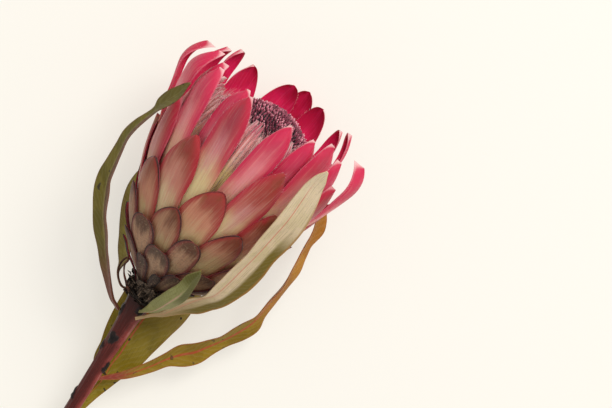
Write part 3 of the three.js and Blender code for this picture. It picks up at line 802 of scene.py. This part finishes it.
def crumbPoints():
    luck = np.random.default_rng(crumbs["seed"])
    rows = []
    for k in range(crumbs["count"]):
        root = luck.uniform(*crumbs["roots"])
        width = luck.uniform(*crumbs["widths"])
        azimuth = math.radians((head["goldenAngle"] * k) % 360)
        top = crumbs["leftTop"] if math.sin(azimuth) < crumbs["leftFrom"] else crumbs["top"]
        rows.append({
            "order": crumbs["layer"] - crumbs["layerSlope"] * root + luck.uniform(*crumbs["layerLuck"]),
            "root": root,
            "tip": max(min(root + luck.uniform(*crumbs["lengths"]), top), root + 1),
            "width": width,
            "shoulder": width * luck.uniform(*crumbs["shoulders"]),
            "point": luck.uniform(*crumbs["pointed"]),
            "azimuth": azimuth,
            "lean": luck.uniform(*crumbs["leans"]),
            "curl": luck.uniform(*crumbs["curls"]),
            "fold": luck.uniform(*crumbs["folds"]),
            "thickness": crumbs["thickness"],
        })
    return bladePoints("crumbPoints", rows)


grow("footCrumbs", crumbPoints(), bladeTree("crumbsOfTheFoot", crumbMaterial()), {
    "Columns": 7, "Rows": 9, "Blunt Tip": 0.1, "Widest Angle": math.radians(30), "Curl Length": 5.0,
    "Crown": 0.5, "Ripple": 2.4, "Sway": 5.0})


# The florets: straw-coloured tubes close together inside the bracts, with silky ends, round a dome of knobs
florets = {
    "apex": 94.0,
    "domeCurve": 35.0,  # the dome falls away from it by the square of its radius over this
    "outerLayer": 49,  # how far in the flank lies, as a bract's order
    "innerLayer": 60,
    "coreLayer": 63,
    "flankCount": 230,
    "flankRoot": 24.0,
    "flankTips": (78, 92),
    "farTips": (74, 84),  # on the side that lies underneath, this many degrees and more from the upper side
    "farBeyond": 100,
    "flankWidths": (1.8, 3.4),
    "flankShoulders": (6, 12),
    "flankLeans": (-0.06, 0.06),
    "flankCurl": (7, 12),
    "domeCount": 1500,
    "domeSpread": 25.5,
    "knobDepth": 2.4,
    "knobLength": 3.5,
    "knobRadius": 0.48,
    "knobNeck": 0.5,  # the neck's share of that radius
    "knobSwells": (0.3, 0.66),  # the shares of its length between which it swells, and closes
    "knobCloses": (0.72, 1.04),
    "knobTip": 0.02,  # the share of its section that is left at the tip
    "knobSizes": (0.82, 1.12),
    "knobLean": 0.13,  # the most that a knob leans, and turns about itself
    "knobTurn": 3,
    "coreDepth": 1.6,  # how far the felted core's top lies under the apex
    "coreHeights": [23, 30, 40, 50, 60, 68, 74, 79, 83, 86, 88.5, 90.4, 91.5],
    "seed": 11,
}


# Floret tube: dry papery straw with fine lines at the foot, and mauve silk towards the end
def tubeMaterial():
    material, tree = newMaterial("floretTubePapery", 0.55, sheen=0.4)
    v = marks(tree, "order", "height", "chord", "edge", "inner")
    lines = unevenness(tree, v.chord / 0.28, v.height / 14, v.order * 9.1, detail=2.0)
    cloud = speckle(tree, 6)
    risen = v.height + (cloud - 0.5) * 16 + (lines - 0.5) * 8
    colour = paint(
        "#e0c788",
        (0.6 * lines.smooth(0.48, 0.62), "#a98648"),
        (risen.smooth(66.0, 76.0), "#dc908c"),
        (risen.smooth(80.0, 89.0), "#b85468"),
        (0.7 * (1 - lines).smooth(0.48, 0.6) * risen.smooth(66.0, 74.0), "#ecd6d2"),
        (0.5 * (1 - v.edge.smooth(0.0, 0.3)), "#7a5540"),
    )
    return dress(material, colour, lines, 0.25)


def flankPoints():
    luck = np.random.default_rng(florets["seed"])
    rows = []
    for k in range(florets["flankCount"]):
        degrees = (head["goldenAngle"] * k) % 360
        far = florets["farBeyond"] < degrees < 360 - florets["farBeyond"]
        rows.append({
            "order": luck.uniform(florets["outerLayer"], florets["innerLayer"]),
            "root": florets["flankRoot"],
            "tip": luck.uniform(*florets["farTips" if far else "flankTips"]),
            "width": luck.uniform(*florets["flankWidths"]),
            "shoulder": luck.uniform(*florets["flankShoulders"]),
            "point": 0.6,
            "azimuth": math.radians(degrees),
            "lean": luck.uniform(*florets["flankLeans"]),
            "curl": luck.uniform(*florets["flankCurl"]),
            "fold": 0.6,
            "thickness": 1.0,
        })
    return bladePoints("flankPoints", rows)


flank = grow("floretFlank", flankPoints(), bladeTree("tubesOfTheFlank", tubeMaterial()), {
    "Columns": 5, "Rows": 26, "Blunt Tip": 0.3, "Widest Angle": math.radians(6), "Curl Length": 27.0,
    "Crown": 0.5, "Ripple": 0.9, "Sway": 3.0, "Hair Lean": -0.22}, "florets")


def flankSilk(v):
    # on the outer face, between the straw-coloured foot and the tips
    begun = np.clip((v.height - down["silkFrom"]) / down["silkGrows"], 0, 1)
    left = np.clip((down["silkTo"] - v.height) / down["silkFades"], 0, 1)
    return begun * left * (v.inner < 0.5)


silk = hairTree("silkOfTheFlorets", downMaterial("floretSilkPink", "#dd8d92", "#f9dcd6"))
grow("floretSilk", haired(flank, flankSilk), silk, down["silk"])


# The tree that sets a club-shaped floret end on each point of the dome
def domeTree(material):
    tree, given = newTree("clubsOfTheDome",
                          {"Length": "Float", "Radius": "Float", "Sides": "Int", "Seed": "Int"})
    rod = addNode(tree, "GeometryNodeMeshCylinder", {"fill_type": "TRIANGLE_FAN"}, {
        "Vertices": given["Sides"], "Side Segments": 6, "Fill Segments": 1, "Radius": 1.0, "Depth": 1.0})
    x, y, z = positions(tree)
    up = z + 0.5
    stored = addNode(tree, "GeometryNodeStoreNamedAttribute",
                     inputs={"Geometry": rod.outputs["Mesh"], "Name": "up", "Value": up})
    # a thin neck, a thicker end and a rounded tip
    closing = larger(1 - up.smooth(*florets["knobCloses"]), florets["knobTip"])
    neck = florets["knobNeck"]
    swelling = neck + (1 - neck) * up.smooth(*florets["knobSwells"])
    girth = given["Radius"] * swelling * reckon("SQRT", closing)
    shape = {0: x * girth, 1: y * girth, 2: up * given["Length"]}
    shaped = addNode(tree, "ShaderNodeCombineXYZ", inputs=shape)
    club = addNode(tree, "GeometryNodeSetPosition",
                   inputs={"Geometry": stored.outputs[0], "Position": shaped.outputs[0]})
    facing = addNode(tree, "GeometryNodeInputNamedAttribute", {"data_type": "FLOAT_VECTOR"},
                     {"Name": "facing"})
    lean, around = florets["knobLean"], florets["knobTurn"]
    clubs = setOnPoints(tree, given["Geometry"], club.outputs[0], facing.outputs[0],
                        ((-lean, -lean, -around), (lean, lean, around)), florets["knobSizes"], given["Seed"])
    return endTree(tree, clubs, material)


# Floret ends: dark purple and felted, with a pink bloom on each knob and a painted pale highlight on its top
def knobMaterial():
    material, tree = newMaterial("floretEndFelted", 0.5, sheen=0.25)
    v = marks(tree, "up")
    cloud = speckle(tree, 5)
    fine = speckle(tree, 0.6)
    risen = v.up + (fine - 0.5) * 0.3
    colour = paint(
        "#32101f",
        (v.up.smooth(0.3, 0.75), "#76263e"),
        (0.9 * risen.smooth(0.62, 0.88) * cloud.smooth(0.42, 0.58), "#c66a80"),
        # painted highlight: the pale pink top of each knob
        (0.8 * risen.smooth(0.82, 1.0) * cloud.smooth(0.46, 0.62), "#f4b0bc"),
    )
    return dress(material, colour, fine, 0.15)


def domePoints():
    places, facing = [], []
    for k in range(florets["domeCount"]):
        radius = florets["domeSpread"] * math.sqrt((k + 0.5) / florets["domeCount"])
        azimuth = math.radians(head["goldenAngle"] * k)
        height = florets["apex"] - radius ** 2 / florets["domeCurve"] - florets["knobDepth"]
        slope = radius / florets["domeCurve"]
        places.append(onHead(height, radius, azimuth))
        facing.append((1, -slope * math.sin(azimuth), slope * math.cos(azimuth)))
    turned = (toWorld(facing) - toWorld([(0, 0, 0)])) * 1000
    return newMesh("domePoints", toWorld(places), values={"facing": turned})


grow("floretDome", domePoints(), domeTree(knobMaterial()), {
    "Length": florets["knobLength"] * 0.001, "Radius": florets["knobRadius"] * 0.001, "Sides": 5,
    "Seed": 2}, sharpAngle=80)


def turnedMesh(name, rings, sides):
    # A closed form about the head's axis from rings of (height, radius)
    points = [onHead(height, radius, 2 * math.pi * side / sides)
              for height, radius in rings for side in range(sides)]
    return newMesh(name, toWorld(points), tubeFaces(len(rings), sides, rising=True))


# Felt between the florets, and the woody cone that carries everything: dark, dry and matt
def feltMaterial(name, shade, light):
    material, tree = newMaterial(name, 0.9, sheen=0.2)
    fine = speckle(tree, 1.2)
    return dress(material, paint(shade, (fine.smooth(0.4, 0.6), light)), fine, 0.4)


def coreRadius(height):
    dome = math.sqrt(max(0, florets["domeCurve"] * (florets["apex"] - florets["coreDepth"] - height)))
    return min(bractRadius(florets["coreLayer"], height), dome)


coreRings = [(height, coreRadius(height)) for height in florets["coreHeights"]]
modelled("floretCore", turnedMesh("floretCore", coreRings, sides=48),
         feltMaterial("floretFeltDark", "#2a0f1c", "#4a2233"))
receptacleRings = [(0.5, 5.6), (4, 7.2), (8, 9.2), (12, 10.4), (17, 12.5), (22, 14)]
modelled("receptacle", turnedMesh("receptacle", receptacleRings, sides=40),
         feltMaterial("receptacleWoody", "#2e241d", "#4d4036"))
say("head grown")


# Leaves: each row is a point of the rib, half the blade's width there and the azimuth that it faces. The
# blade is folded along its rib, by a negative angle where the margins are raised
leafCommon = {
    "thickness": 0.8,
    "thinMargin": 0.55,
    "ribWidth": 0.55,  # the rib stands out above and below, and fades towards the tip
    "ribAbove": 0.22,
    "ribBelow": 0.3,
    "ribFades": 0.6,
    "softFold": 0.05,
    "stations": 120,
    "columns": 21,
    "foot": (2.4, 1.6, 0.8),  # the petiole's foot runs on into the stem so far
}
leaves = {
    "leaf_left_arching": {
        "fold": -22, "slot": "leaf_olive",
        "rib": [(-13.5, 6, 1, 1.5, -60), (-12, 8.5, 2, 2, -58), (-3, 17, 5, 4, -55),
                (3, 22.5, 6, 4.5, -54), (8.5, 27, 7, 6, -54), (15, 32.5, 8, 6, -53),
                (21.5, 36.5, 9, 6.5, -50), (28.5, 40, 10, 6, -48), (35, 41.5, 12, 5, -48),
                (43, 43, 15, 4, -48), (49.5, 44, 18, 3.5, -48), (55.5, 43.5, 21, 3, -52),
                (66.5, 41, 26, 2, -55), (70.5, 40.5, 27.5, 3, -42), (75, 39, 29.5, 3.5, -35),
                (79.5, 37.5, 31, 3, -35), (83.5, 37, 32, 1.5, -35), (85.5, 36.5, 32.5, 0.4, -35)],
    },
    "leaf_behind_left": {
        "fold": -15, "slot": "leaf_olive",
        "rib": [(-5.5, 5.5, -2, 0.5, -60), (-7, 9, -4, 0.5, -60), (-4.5, 14, -8.5, 0.5, -52),
                (0, 15, -13.5, 3, -46), (4.5, 18.5, -17, 4, -45), (9, 21, -20, 5, -45),
                (14, 24.5, -23, 5.5, -45), (19.5, 28, -25, 5.5, -45), (25, 30.5, -26.5, 5, -45),
                (29.5, 32.5, -27.5, 3, -45), (33, 34, -28, 0.5, -45)],
    },
    "leaf_small_front": {
        "fold": 14, "slot": "leaf_pale",
        "rib": [(-7.5, -4.5, 6, 0.7, 30), (-3.5, -7.5, 10.5, 3, 28), (1.5, -9.5, 16.5, 4.5, 26),
                (6.5, -11, 21, 4.5, 24), (12, -12.5, 24.5, 4.5, 22), (17, -13, 27.5, 3.5, 20),
                (22, -13, 30, 3, 20), (26, -13.5, 32, 1.5, 20), (28, -13.5, 33, 0.3, 20)],
    },
    "leaf_front_right": {
        "fold": -22, "slot": "leaf_pale",
        "rib": [(-10, -5.5, 5, 0.8, 45), (-6.5, -8.5, 4, 1, 45), (-3, -11.5, 4.5, 2, 46),
                (2, -14, 6, 4, 46), (7.5, -16.5, 8.5, 7.5, 47), (14, -20, 11.5, 8.5, 48),
                (19.5, -23.5, 15, 8.5, 48), (28, -25, 19, 10, 48), (37.5, -26, 23, 10, 48),
                (47, -27, 26.5, 8.5, 47), (56, -27.5, 29.5, 9, 45), (66.5, -28, 32.5, 8.5, 43),
                (76.5, -27.5, 34.5, 7, 41), (85, -27, 36, 5, 40), (89.5, -27.5, 37, 3.5, 40),
                (93, -28.5, 37.5, 0.7, 40)],
    },
    "leaf_lower_right": {
        "fold": -18, "slot": "leaf_ochre",
        "rib": [(-42.5, -8.5, -1, 1, 30), (-36.5, -14.5, -3, 2, 30), (-32, -18, -5, 2.5, 30),
                (-26.5, -21.5, -7, 3, 30), (-21, -24.5, -8.5, 3.5, 28), (-16, -28, -10, 5.5, 26),
                (-11.5, -32, -11, 5.5, 28), (-6, -35, -12, 4.5, 38), (-0.5, -38, -13, 4, 48),
                (6.5, -41, -13, 5, 45), (13, -43, -13, 5.5, 52), (18, -43.5, -13, 4, 66),
                (25.5, -43.5, -12.5, 4, 70), (34, -44, -12, 3.5, 76), (42, -43, -12, 4.5, 68),
                (49, -41.5, -13, 4, 69), (54.5, -40.5, -14.5, 3.5, 66), (61.5, -39.5, -19, 4.5, 48),
                (65, -38.5, -21, 3.5, 48), (68, -37.5, -22.5, 2, 50), (71, -37, -24, 0.6, 50)],
    },
    "leaf_broad_behind": {
        "fold": 6, "slot": "leaf_ochre",
        "rib": [(-84, -9, -4, 1.5, 4), (-74, -8, -4.5, 2.5, 4), (-63.5, -8, -4.5, 2.5, 4),
                (-52.5, -8.5, -5, 3.5, 4), (-44.5, -9, -6, 5, 4), (-37.5, -8, -7.5, 8.5, 3),
                (-31.5, -8, -8.5, 10, 2), (-22.5, -7, -11, 12, 2), (-13.5, -6.5, -14.5, 13.5, 0),
                (-5, -6.5, -18.5, 14.5, 0), (4.5, -6.5, -22.5, 13.5, 0), (12.5, -7, -25.5, 10.5, 0),
                (19, -7, -27, 5, 0), (22, -7.5, -27.5, 0.4, 0)],
    },
}


def smoothPath(points, count, fineness=24):
    # A centripetal curve through the points, in even steps, and the direction at each step. What the points
    # carry beside their places is led along with them
    points = np.asarray(points, float)
    ends = np.vstack([2 * points[0] - points[1], points, 2 * points[-1] - points[-2]])
    dense = []
    for i in range(len(points) - 1):
        corners = ends[i:i + 4]
        reaches = np.linalg.norm(np.diff(corners[:, :3], axis=0), axis=1)
        knots = np.concatenate([[0], np.cumsum(np.sqrt(reaches))])

        def between(a, b, start, end, t):
            return (a * (knots[end] - t) + b * (t - knots[start])) / (knots[end] - knots[start])

        for t in np.linspace(knots[1], knots[2], fineness, endpoint=False):
            first = [between(corners[j], corners[j + 1], j, j + 1, t) for j in range(3)]
            second = [between(first[j], first[j + 1], j, j + 2, t) for j in range(2)]
            dense.append(between(second[0], second[1], 1, 2, t))
    dense = np.array(dense + [points[-1]])
    run = np.concatenate([[0], np.cumsum(np.linalg.norm(np.diff(dense[:, :3], axis=0), axis=1))])
    steps = np.linspace(0, run[-1], count)
    path = np.array([np.interp(steps, run, column) for column in dense.T]).T
    slopes = np.gradient(path[:, :3], axis=0)
    return path, slopes / np.linalg.norm(slopes, axis=1)[:, None]


def sheetFaces(rows, columns):
    # A closed sheet between an upper and a lower grid
    back = rows * columns
    faces = []
    for r in range(rows - 1):
        for c in range(columns - 1):
            a, b = r * columns + c, r * columns + c + 1
            faces.append((a, a + columns, b + columns, b))
            faces.append((back + a, back + b, back + b + columns, back + a + columns))
    for c in range(columns - 1):
        a, end = c, (rows - 1) * columns + c
        faces.append((a, a + 1, back + a + 1, back + a))
        faces.append((end + 1, end, back + end, back + end + 1))
    for r in range(rows - 1):
        a, end = r * columns, r * columns + columns - 1
        faces.append((a + columns, a, back + a, back + a + columns))
        faces.append((end, end + columns, back + end + columns, back + end))
    return faces


def leafMesh(name, leaf):
    path, forwards = smoothPath(leaf["rib"], leafCommon["stations"])
    foot = [path[0] - np.append(forwards[0] * back, (0, 0)) for back in leafCommon["foot"]]
    path = np.vstack([foot, path])
    forwards = np.vstack([forwards[:1]] * len(foot) + [forwards])
    alongs = np.concatenate([np.zeros(len(foot)), np.linspace(0, 1, leafCommon["stations"])])
    fold = math.radians(leaf["fold"])
    sheets, values = ([], []), ([], [])
    softness = leafCommon["softFold"]
    for (*centre, half, facing), forward, along in zip(path, forwards, alongs):
        azimuth = math.radians(facing)
        face = np.array([0, -math.sin(azimuth), math.cos(azimuth)])
        face -= forward * face.dot(forward)
        face /= np.linalg.norm(face)
        sideways = np.cross(forward, face)
        for side in np.linspace(-1, 1, leafCommon["columns"]):
            soft = math.hypot(side, softness) - softness
            spot = centre - sideways * side * half * math.cos(fold) - face * soft * half * math.sin(fold)
            rib = math.exp(-((side * half / leafCommon["ribWidth"]) ** 2))
            rib *= 1 - leafCommon["ribFades"] * along
            thick = leafCommon["thickness"] / 2 * (1 - leafCommon["thinMargin"] * side ** 2)
            sheets[0].append(spot + face * (thick + leafCommon["ribAbove"] * rib))
            sheets[1].append(spot - face * (thick + leafCommon["ribBelow"] * rib))
            for under in (0, 1):
                values[under].append((side, along, (1 - abs(side)) * half, side * half, under))
    marked = zip(("across", "along", "edge", "chord", "under"), np.array(values[0] + values[1]).T)
    faces = sheetFaces(len(path), leafCommon["columns"])
    return newMesh(name, aboveSurface(sheets[0] + sheets[1]), faces, dict(marked))


# Leaf skins: leathery blades with a waxy cuticle, a reddish midrib and margins, faint slanting veins and
# small dead specks. Each leaf has its material's name, its ground colour and the colours laid over it
leafSkins = {
    "leaf_left_arching": ("leafSkinOlive", "#675c1a", lambda v: [
        (0.6 * v.cloud.smooth(0.45, 0.6), "#7c6e22"),
        (0.9 * (0 - v.across).smooth(0.03, 0.14) * (1 - v.along.smooth(0.78, 0.84)), "#633a2c"),
        (0.5 * (0 - v.across).smooth(0.75, 0.9) * (1 - v.along.smooth(0.78, 0.84)), "#96604f"),
        (0.5 * (1 - v.inward.smooth(0.02, 0.1)), "#93864c"),
        (0.7 * (1 - v.edge.smooth(0.1, 0.6)), "#6f3d28"),
        (0.4 * v.along.smooth(0.78, 0.86), "#5d5634"),
        (1 - v.along.smooth(0.06, 0.26), "#6d3b30"),
        (0.9 * v.speck.smooth(0.7, 0.74), "#2e2416")]),
    "leaf_behind_left": ("leafSkinOliveShaded", "#80722c", lambda v: [
        (0.8 * v.cloud.smooth(0.4, 0.6), "#948836"),
        (0.5 * v.inward.smooth(0.6, 0.8), "#7c6434"),
        (1 - v.along.smooth(0.1, 0.4), "#6b4a30"),
        (0.6 * (1 - v.edge.smooth(0.1, 0.6)), "#5c3a22")]),
    "leaf_small_front": ("leafSkinPaleGreen", "#85844e", lambda v: [
        (0.6 * v.cloud.smooth(0.42, 0.6), "#96935c"),
        (0.95 * (0 - v.across).smooth(0.12, 0.3) * v.along.smooth(0.4, 0.62), "#55541f"),
        (v.along.smooth(0.7, 0.86), "#57551f"),
        (0.75 * (1 - v.inward.smooth(0.03, 0.12)) * (1 - v.along.smooth(0.55, 0.75)), "#c59683"),
        (0.7 * (1 - v.edge.smooth(0.1, 0.5)), "#77703f")]),
    "leaf_front_right": ("leafSkinPaleWaxy", "#dcc5a2", lambda v: [
        (0.6 * v.cloud.smooth(0.42, 0.6), "#c8b688"),
        (0.85 * (1 - v.along.smooth(0.06, 0.4)), "#9c8050"),
        (0.55 * v.along.smooth(0.6, 0.95), "#e0ceb0"),
        # painted shade: a darker olive band over the outer part of one half, where it turns away from the
        # light
        ((0 - v.across).smooth(0.36, 0.56) * v.along.smooth(0.08, 0.2) * (1 - v.along.smooth(0.6, 0.76)),
         "#74621a"),
        (0.8 * (0 - v.across).smooth(0.84, 0.97) * (1 - v.along.smooth(0.75, 0.95)), "#a5702a"),
        (0.85 * (1 - v.inward.smooth(0.012, 0.06)) * (1 - v.along.smooth(0.86, 0.98)), "#d0806a"),
        (0.5 * (1 - abs(v.inward - 0.12).smooth(0.0, 0.03)) * (1 - v.along.smooth(0.3, 0.5)),
         "#cf8a76"),
        (0.6 * (1 - v.edge.smooth(0.05, 0.4)), "#c09a74")]),
    "leaf_lower_right": ("leafSkinOchre", "#86680f", lambda v: [
        (0.6 * v.cloud.smooth(0.42, 0.6), "#9a7c1e"),
        (0.75 * v.along.smooth(0.5, 0.62), "#a8641a"),
        (0.6 * v.along.smooth(0.52, 0.7) * v.cloud.smooth(0.42, 0.58), "#b47c26"),
        (0.85 * (1 - v.inward.smooth(0.05, 0.16)) * (1 - v.along.smooth(0.55, 0.75)), "#b2452c"),
        (1 - v.along.smooth(0.03, 0.14), "#923a30"),
        (0.8 * (1 - v.edge.smooth(0.1, 0.6)), "#a0582a"),
        (0.8 * v.speck.smooth(0.71, 0.75), "#4a3216")]),
    "leaf_broad_behind": ("leafSkinYellowOlive", "#86720c", lambda v: [
        (0.8 * v.cloud.smooth(0.4, 0.6), "#948021"),
        (0.6 * v.patch.smooth(0.5, 0.66), "#6f5f10"),
        (0.65 * v.along.smooth(0.58, 0.8), "#b49a50"),
        (0.9 * (1 - v.inward.smooth(0.012, 0.04)), "#c4553a"),
        (0.8 * (1 - v.edge.smooth(0.1, 0.7)), "#94661f"),
        (v.speck.smooth(0.69, 0.72), "#33270f")]),
}


def leafMaterial(name, base, layersOf):
    material, tree = newMaterial(name, 0.4, glow=0.08, glowRadius=(0.002, 0.0025, 0.0008))
    v = marks(tree, "across", "along", "edge", "chord", "under")
    v.inward = abs(v.across)
    v.cloud = speckle(tree, 8)
    v.patch = speckle(tree, 14)
    v.speck = speckle(tree, 4, detail=1.0)
    fine = speckle(tree, 0.8)
    lines = unevenness(tree, v.chord / 0.35, v.along * 9, 0.0, detail=2.0)
    # side veins run out from the rib at a slant
    slant = v.along * 30 - abs(v.chord) * 0.42 + (v.cloud - 0.5) * 3
    vein = abs(reckon("SINE", slant * math.pi))
    colour = paint(base, *layersOf(v), (0.03 * vein.smooth(0.75, 1.0), "#f0e8c0"),
                   (0.3 * lines.smooth(0.5, 0.68), "#5b4a12"), (0.2 * fine.smooth(0.55, 0.75), "#42360f"))
    return dress(material, colour, fine * 0.4 + vein * 0.08 + lines * 0.5, 0.16, 0.38 + 0.2 * fine)


for name, leaf in leaves.items():
    modelled(name + "Blade", leafMesh(name + "Blade", leaf), leafMaterial(*leafSkins[name]),
             name, sharpAngle=60)
say("leaves grown")


# The stem: a tapering, faintly ribbed rod with raised, hollowed leaf scars
stem = {
    "gap": 0.3,  # how far under the head's base it begins
    "length": 116.2,
    "bend": 0.11,  # how far it moves to the side for each millimetre of its length
    "profile": [(0.3, 6.3), (3, 6.0), (8, 5.3), (14, 4.5), (21, 4.0), (30, 3.5), (36, 3.2), (50, 3.0),
                (116.2, 2.9)],
    "scars": [(8.4, 37), (13, -70), (24.8, -16), (30.7, -88), (37.6, 75), (55, -85), (74, 60), (88, 190),
              (99, -40)],
    "scarRadius": 2.3,
    "scarHeight": 0.95,
    "scarSteepness": 0.8,
    "pit": 0.6,
    "scarLength": 1.25,  # how many times longer than wide a scar is
    "raggedWaves": (3, 5),  # how many waves its rim has, coarse and fine, and how far they change its radius
    "raggedness": (0.16, 0.1),
    "pitShare": 0.42,  # the share of a scar that its pit takes
    "scarEnds": 1.6,  # how many scar radii out nothing is left of it, and where its colour ends
    "colourEnds": 1.25,
    "sides": 72,
    "rows": 300,
    "ribs": (5, 11),  # how many there are round the stem, of each size
    "ribHeights": (0.1, 0.05),
    "ribTwists": (0.05, 0.11),  # how far they turn round the stem for each millimetre of its length
    "barkRadius": 3,  # the radius by which the bark's lines are spaced
}


def stemMesh():
    rows, sides = stem["rows"], stem["sides"]
    below = np.linspace(stem["gap"], stem["length"], rows)
    radius = np.interp(below, *np.array(stem["profile"]).T)
    broad, narrow = stem["ribs"]
    broadHeight, narrowHeight = stem["ribHeights"]
    broadTwist, narrowTwist = stem["ribTwists"]
    coarse, fine = stem["raggedness"]
    coarseWaves, fineWaves = stem["raggedWaves"]
    points, scarMarks = [], []
    for b, plain in zip(below, radius):
        for side in range(sides):
            azimuth = 2 * math.pi * side / sides
            uneven = broadHeight * math.sin(broad * azimuth + b * broadTwist)
            uneven += narrowHeight * math.sin(narrow * azimuth - b * narrowTwist)
            raised = 0.0
            mark = 0.0
            for k, (at, degrees) in enumerate(stem["scars"]):
                around = ((azimuth - math.radians(degrees) + math.pi) % (2 * math.pi) - math.pi) * plain
                lengthwise = (b - at) / stem["scarLength"]
                bearing = math.atan2(around, lengthwise)
                ragged = 1 + coarse * math.sin(coarseWaves * bearing + k)
                ragged += fine * math.sin(fineWaves * bearing + 2 * k)
                away = math.hypot(lengthwise, around) / (stem["scarRadius"] * ragged)
                if away < stem["scarEnds"]:
                    bump = math.cos(min(away, 1) * math.pi / 2) ** stem["scarSteepness"]
                    hollow = math.exp(-((away / stem["pitShare"]) ** 2))
                    raised += stem["scarHeight"] * bump - stem["pit"] * hollow
                    mark = max(mark, 1 - min(1, away / stem["colourEnds"]))
            reach = plain + uneven + raised
            points.append((-b, -stem["bend"] * b - reach * math.sin(azimuth), reach * math.cos(azimuth)))
            scarMarks.append(mark)
    around = np.tile(2 * np.pi * np.arange(sides) / sides, rows)
    # the share of painted light round the stem: 1 on its lit side, 0 on its shaded side
    values = {"scar": scarMarks, "sunny": 0.5 + 0.5 * np.sin(around), "turn": around * stem["barkRadius"],
              "below": np.repeat(below, sides)}
    return newMesh("stemRod", aboveSurface(points), tubeFaces(rows, sides), values)


# Young bark: smooth red-brown skin with corky black leaf scars, and painted light: a pink flush on the side
# where the light falls
def barkMaterial():
    material, tree = newMaterial("stemBarkYoung", 0.42)
    v = marks(tree, "scar", "sunny", "turn", "below")
    cloud = speckle(tree, 6)
    fine = speckle(tree, 0.7)
    lines = unevenness(tree, v.turn / 0.35, v.below / 12, 0.0, detail=2.0)
    # painted light: the lit side is flushed pink, and its lines there carry painted pink highlights
    paintedLight = v.sunny + (cloud - 0.5) * 0.5
    colour = paint(
        "#4e1a15",
        (0.75 * paintedLight.smooth(0.6, 0.95), "#983f38"),
        (0.5 * lines.smooth(0.5, 0.66), "#742c28"),
        (0.6 * lines.smooth(0.5, 0.7) * paintedLight.smooth(0.75, 1.0), "#cf8478"),
        (0.5 * fine.smooth(0.55, 0.72), "#2e1412"),
        (0.85 * (1 - (v.below + (cloud - 0.5) * 8).smooth(3.0, 24.0)), "#2c140f"),
        ((v.scar + (fine - 0.5) * 0.4).smooth(0.1, 0.36), "#1c100f"),
        (v.scar.smooth(0.6, 0.9), "#0a0606"),
    )
    return dress(material, colour, lines * 0.5 + fine * 0.6, 0.25)


modelled("stemRod", stemMesh(), barkMaterial(), "stem")


# The dried, curled remnant of a leaf
remnant = {
    "path": [(-4.5, 4, 5.5), (-3.5, 6.5, 5.2), (-2, 8.5, 5), (-0.5, 10.5, 5), (1.2, 12, 5.2),
             (3.7, 13.3, 5.8), (6.1, 13.2, 6.4), (6.7, 13.9, 5.6), (4.4, 14.9, 3.6), (1.2, 14.9, 2),
             (-2, 13.7, 1.4), (-4.1, 11.6, 1.4), (-5.4, 9.2, 1.8), (-5.7, 7.1, 2.2), (-5.5, 5.7, 2.4)],
    "radii": [0.55, 0.5, 0.5, 0.45, 0.4, 0.35, 0.3, 0.3, 0.3, 0.25, 0.22],
    "flatness": 0.35,  # how much it is flattened, and how far it is turned at each row
    "turn": 0.12,
    "aside": (0.2, 0.1, 1),  # a direction in which its path never runs
    "sides": 10,
    "rows": 90,
}


def threadMesh(name, thread):
    path, forwards = smoothPath(thread["path"], thread["rows"])
    sides = thread["sides"]
    spots = []
    for r, (centre, forward) in enumerate(zip(path, forwards)):
        first = np.cross(forward, thread["aside"])
        first /= np.linalg.norm(first)
        second = np.cross(forward, first)
        radius = np.interp(r / (len(path) - 1), np.linspace(0, 1, len(thread["radii"])), thread["radii"])
        for side in range(sides):
            turn = 2 * math.pi * side / sides
            flat = 1 + thread["flatness"] * math.cos(2 * turn + r * thread["turn"])
            spots.append(centre + (first * math.cos(turn) + second * math.sin(turn)) * radius * flat)
    return newMesh(name, toWorld(spots), tubeFaces(len(path), sides))


# Dried leaf: brittle, red-brown, dull
def remnantMaterial():
    material, tree = newMaterial("driedLeafBrittle", 0.7)
    fine = speckle(tree, 0.6)
    colour = paint("#5b2f22", (speckle(tree, 3).smooth(0.4, 0.6), "#3c241c"),
                   (0.6 * fine.smooth(0.5, 0.7), "#8a5a3c"))
    return dress(material, colour, fine, 0.2)


modelled("curledRemnant", threadMesh("curledRemnant", remnant), remnantMaterial(),
         "curled_leaf_remnant")
say("stem and remnant made")


# The floor and the light: a pale table under a wide soft light from the upper right of the picture
studio = {
    "floorSize": 6.0,
    "floorLevel": -0.0002,  # just clear of the flower's underside
    "floorColour": "#fbf7ee",
    "floorGlow": 0.6,  # the share of its light that the paper gives by itself, as if lit from below
    "keyPower": 29.5,
    "keySize": 1.2,
    "keyFrom": (1.1, 0.9, 1.5),  # to the right, up the picture and above the table
    "keyAim": (-0.04, 0, 0.03),
    "keyColour": "#fffdf8",
    "sky": "#fffefc",
    "skyStrength": 0.6,
}


def makeStudio():
    half = studio["floorSize"] / 2
    level = studio["floorLevel"]
    corners = [(-half, -half, level), (half, -half, level), (half, half, level), (-half, half, level)]
    mesh = newMesh("floor", corners, [(0, 1, 2, 3)])
    floor = newObject("floor", mesh)
    material = bpy.data.materials.new("floorPaperMatt")
    material.use_nodes = True
    tree = material.node_tree
    paper = linear(studio["floorColour"])
    glow = studio["floorGlow"]
    fill(tree, tree.nodes["Principled BSDF"], {
        "Base Color": [(1 - glow) * part for part in paper[:3]] + [1], "Roughness": 0.9,
        "Emission Color": paper, "Emission Strength": glow})
    mesh.materials.append(material)

    centre = Vector(studio["keyAim"])
    right, up, above = studio["keyFrom"]
    light = bpy.data.lights.new("keyLight", "AREA")
    light.shape = "DISK"
    light.size = studio["keySize"]
    light.energy = studio["keyPower"]
    light.color = linear(studio["keyColour"])[:3]
    lamp = newObject("keyLight", light)
    lamp.location = centre + pictureRight * right + pictureUp * up + Vector((0, 0, above))
    lamp.rotation_euler = (lamp.location - centre).to_track_quat("Z", "Y").to_euler()

    world = bpy.data.worlds.new("sky")
    world.use_nodes = True
    tree = world.node_tree
    fill(tree, tree.nodes["Background"], {"Color": linear(studio["sky"]), "Strength": studio["skyStrength"]})
    bpy.context.scene.world = world
    bpy.context.scene.view_settings.view_transform = "Standard"


makeStudio()
say("studio lit")
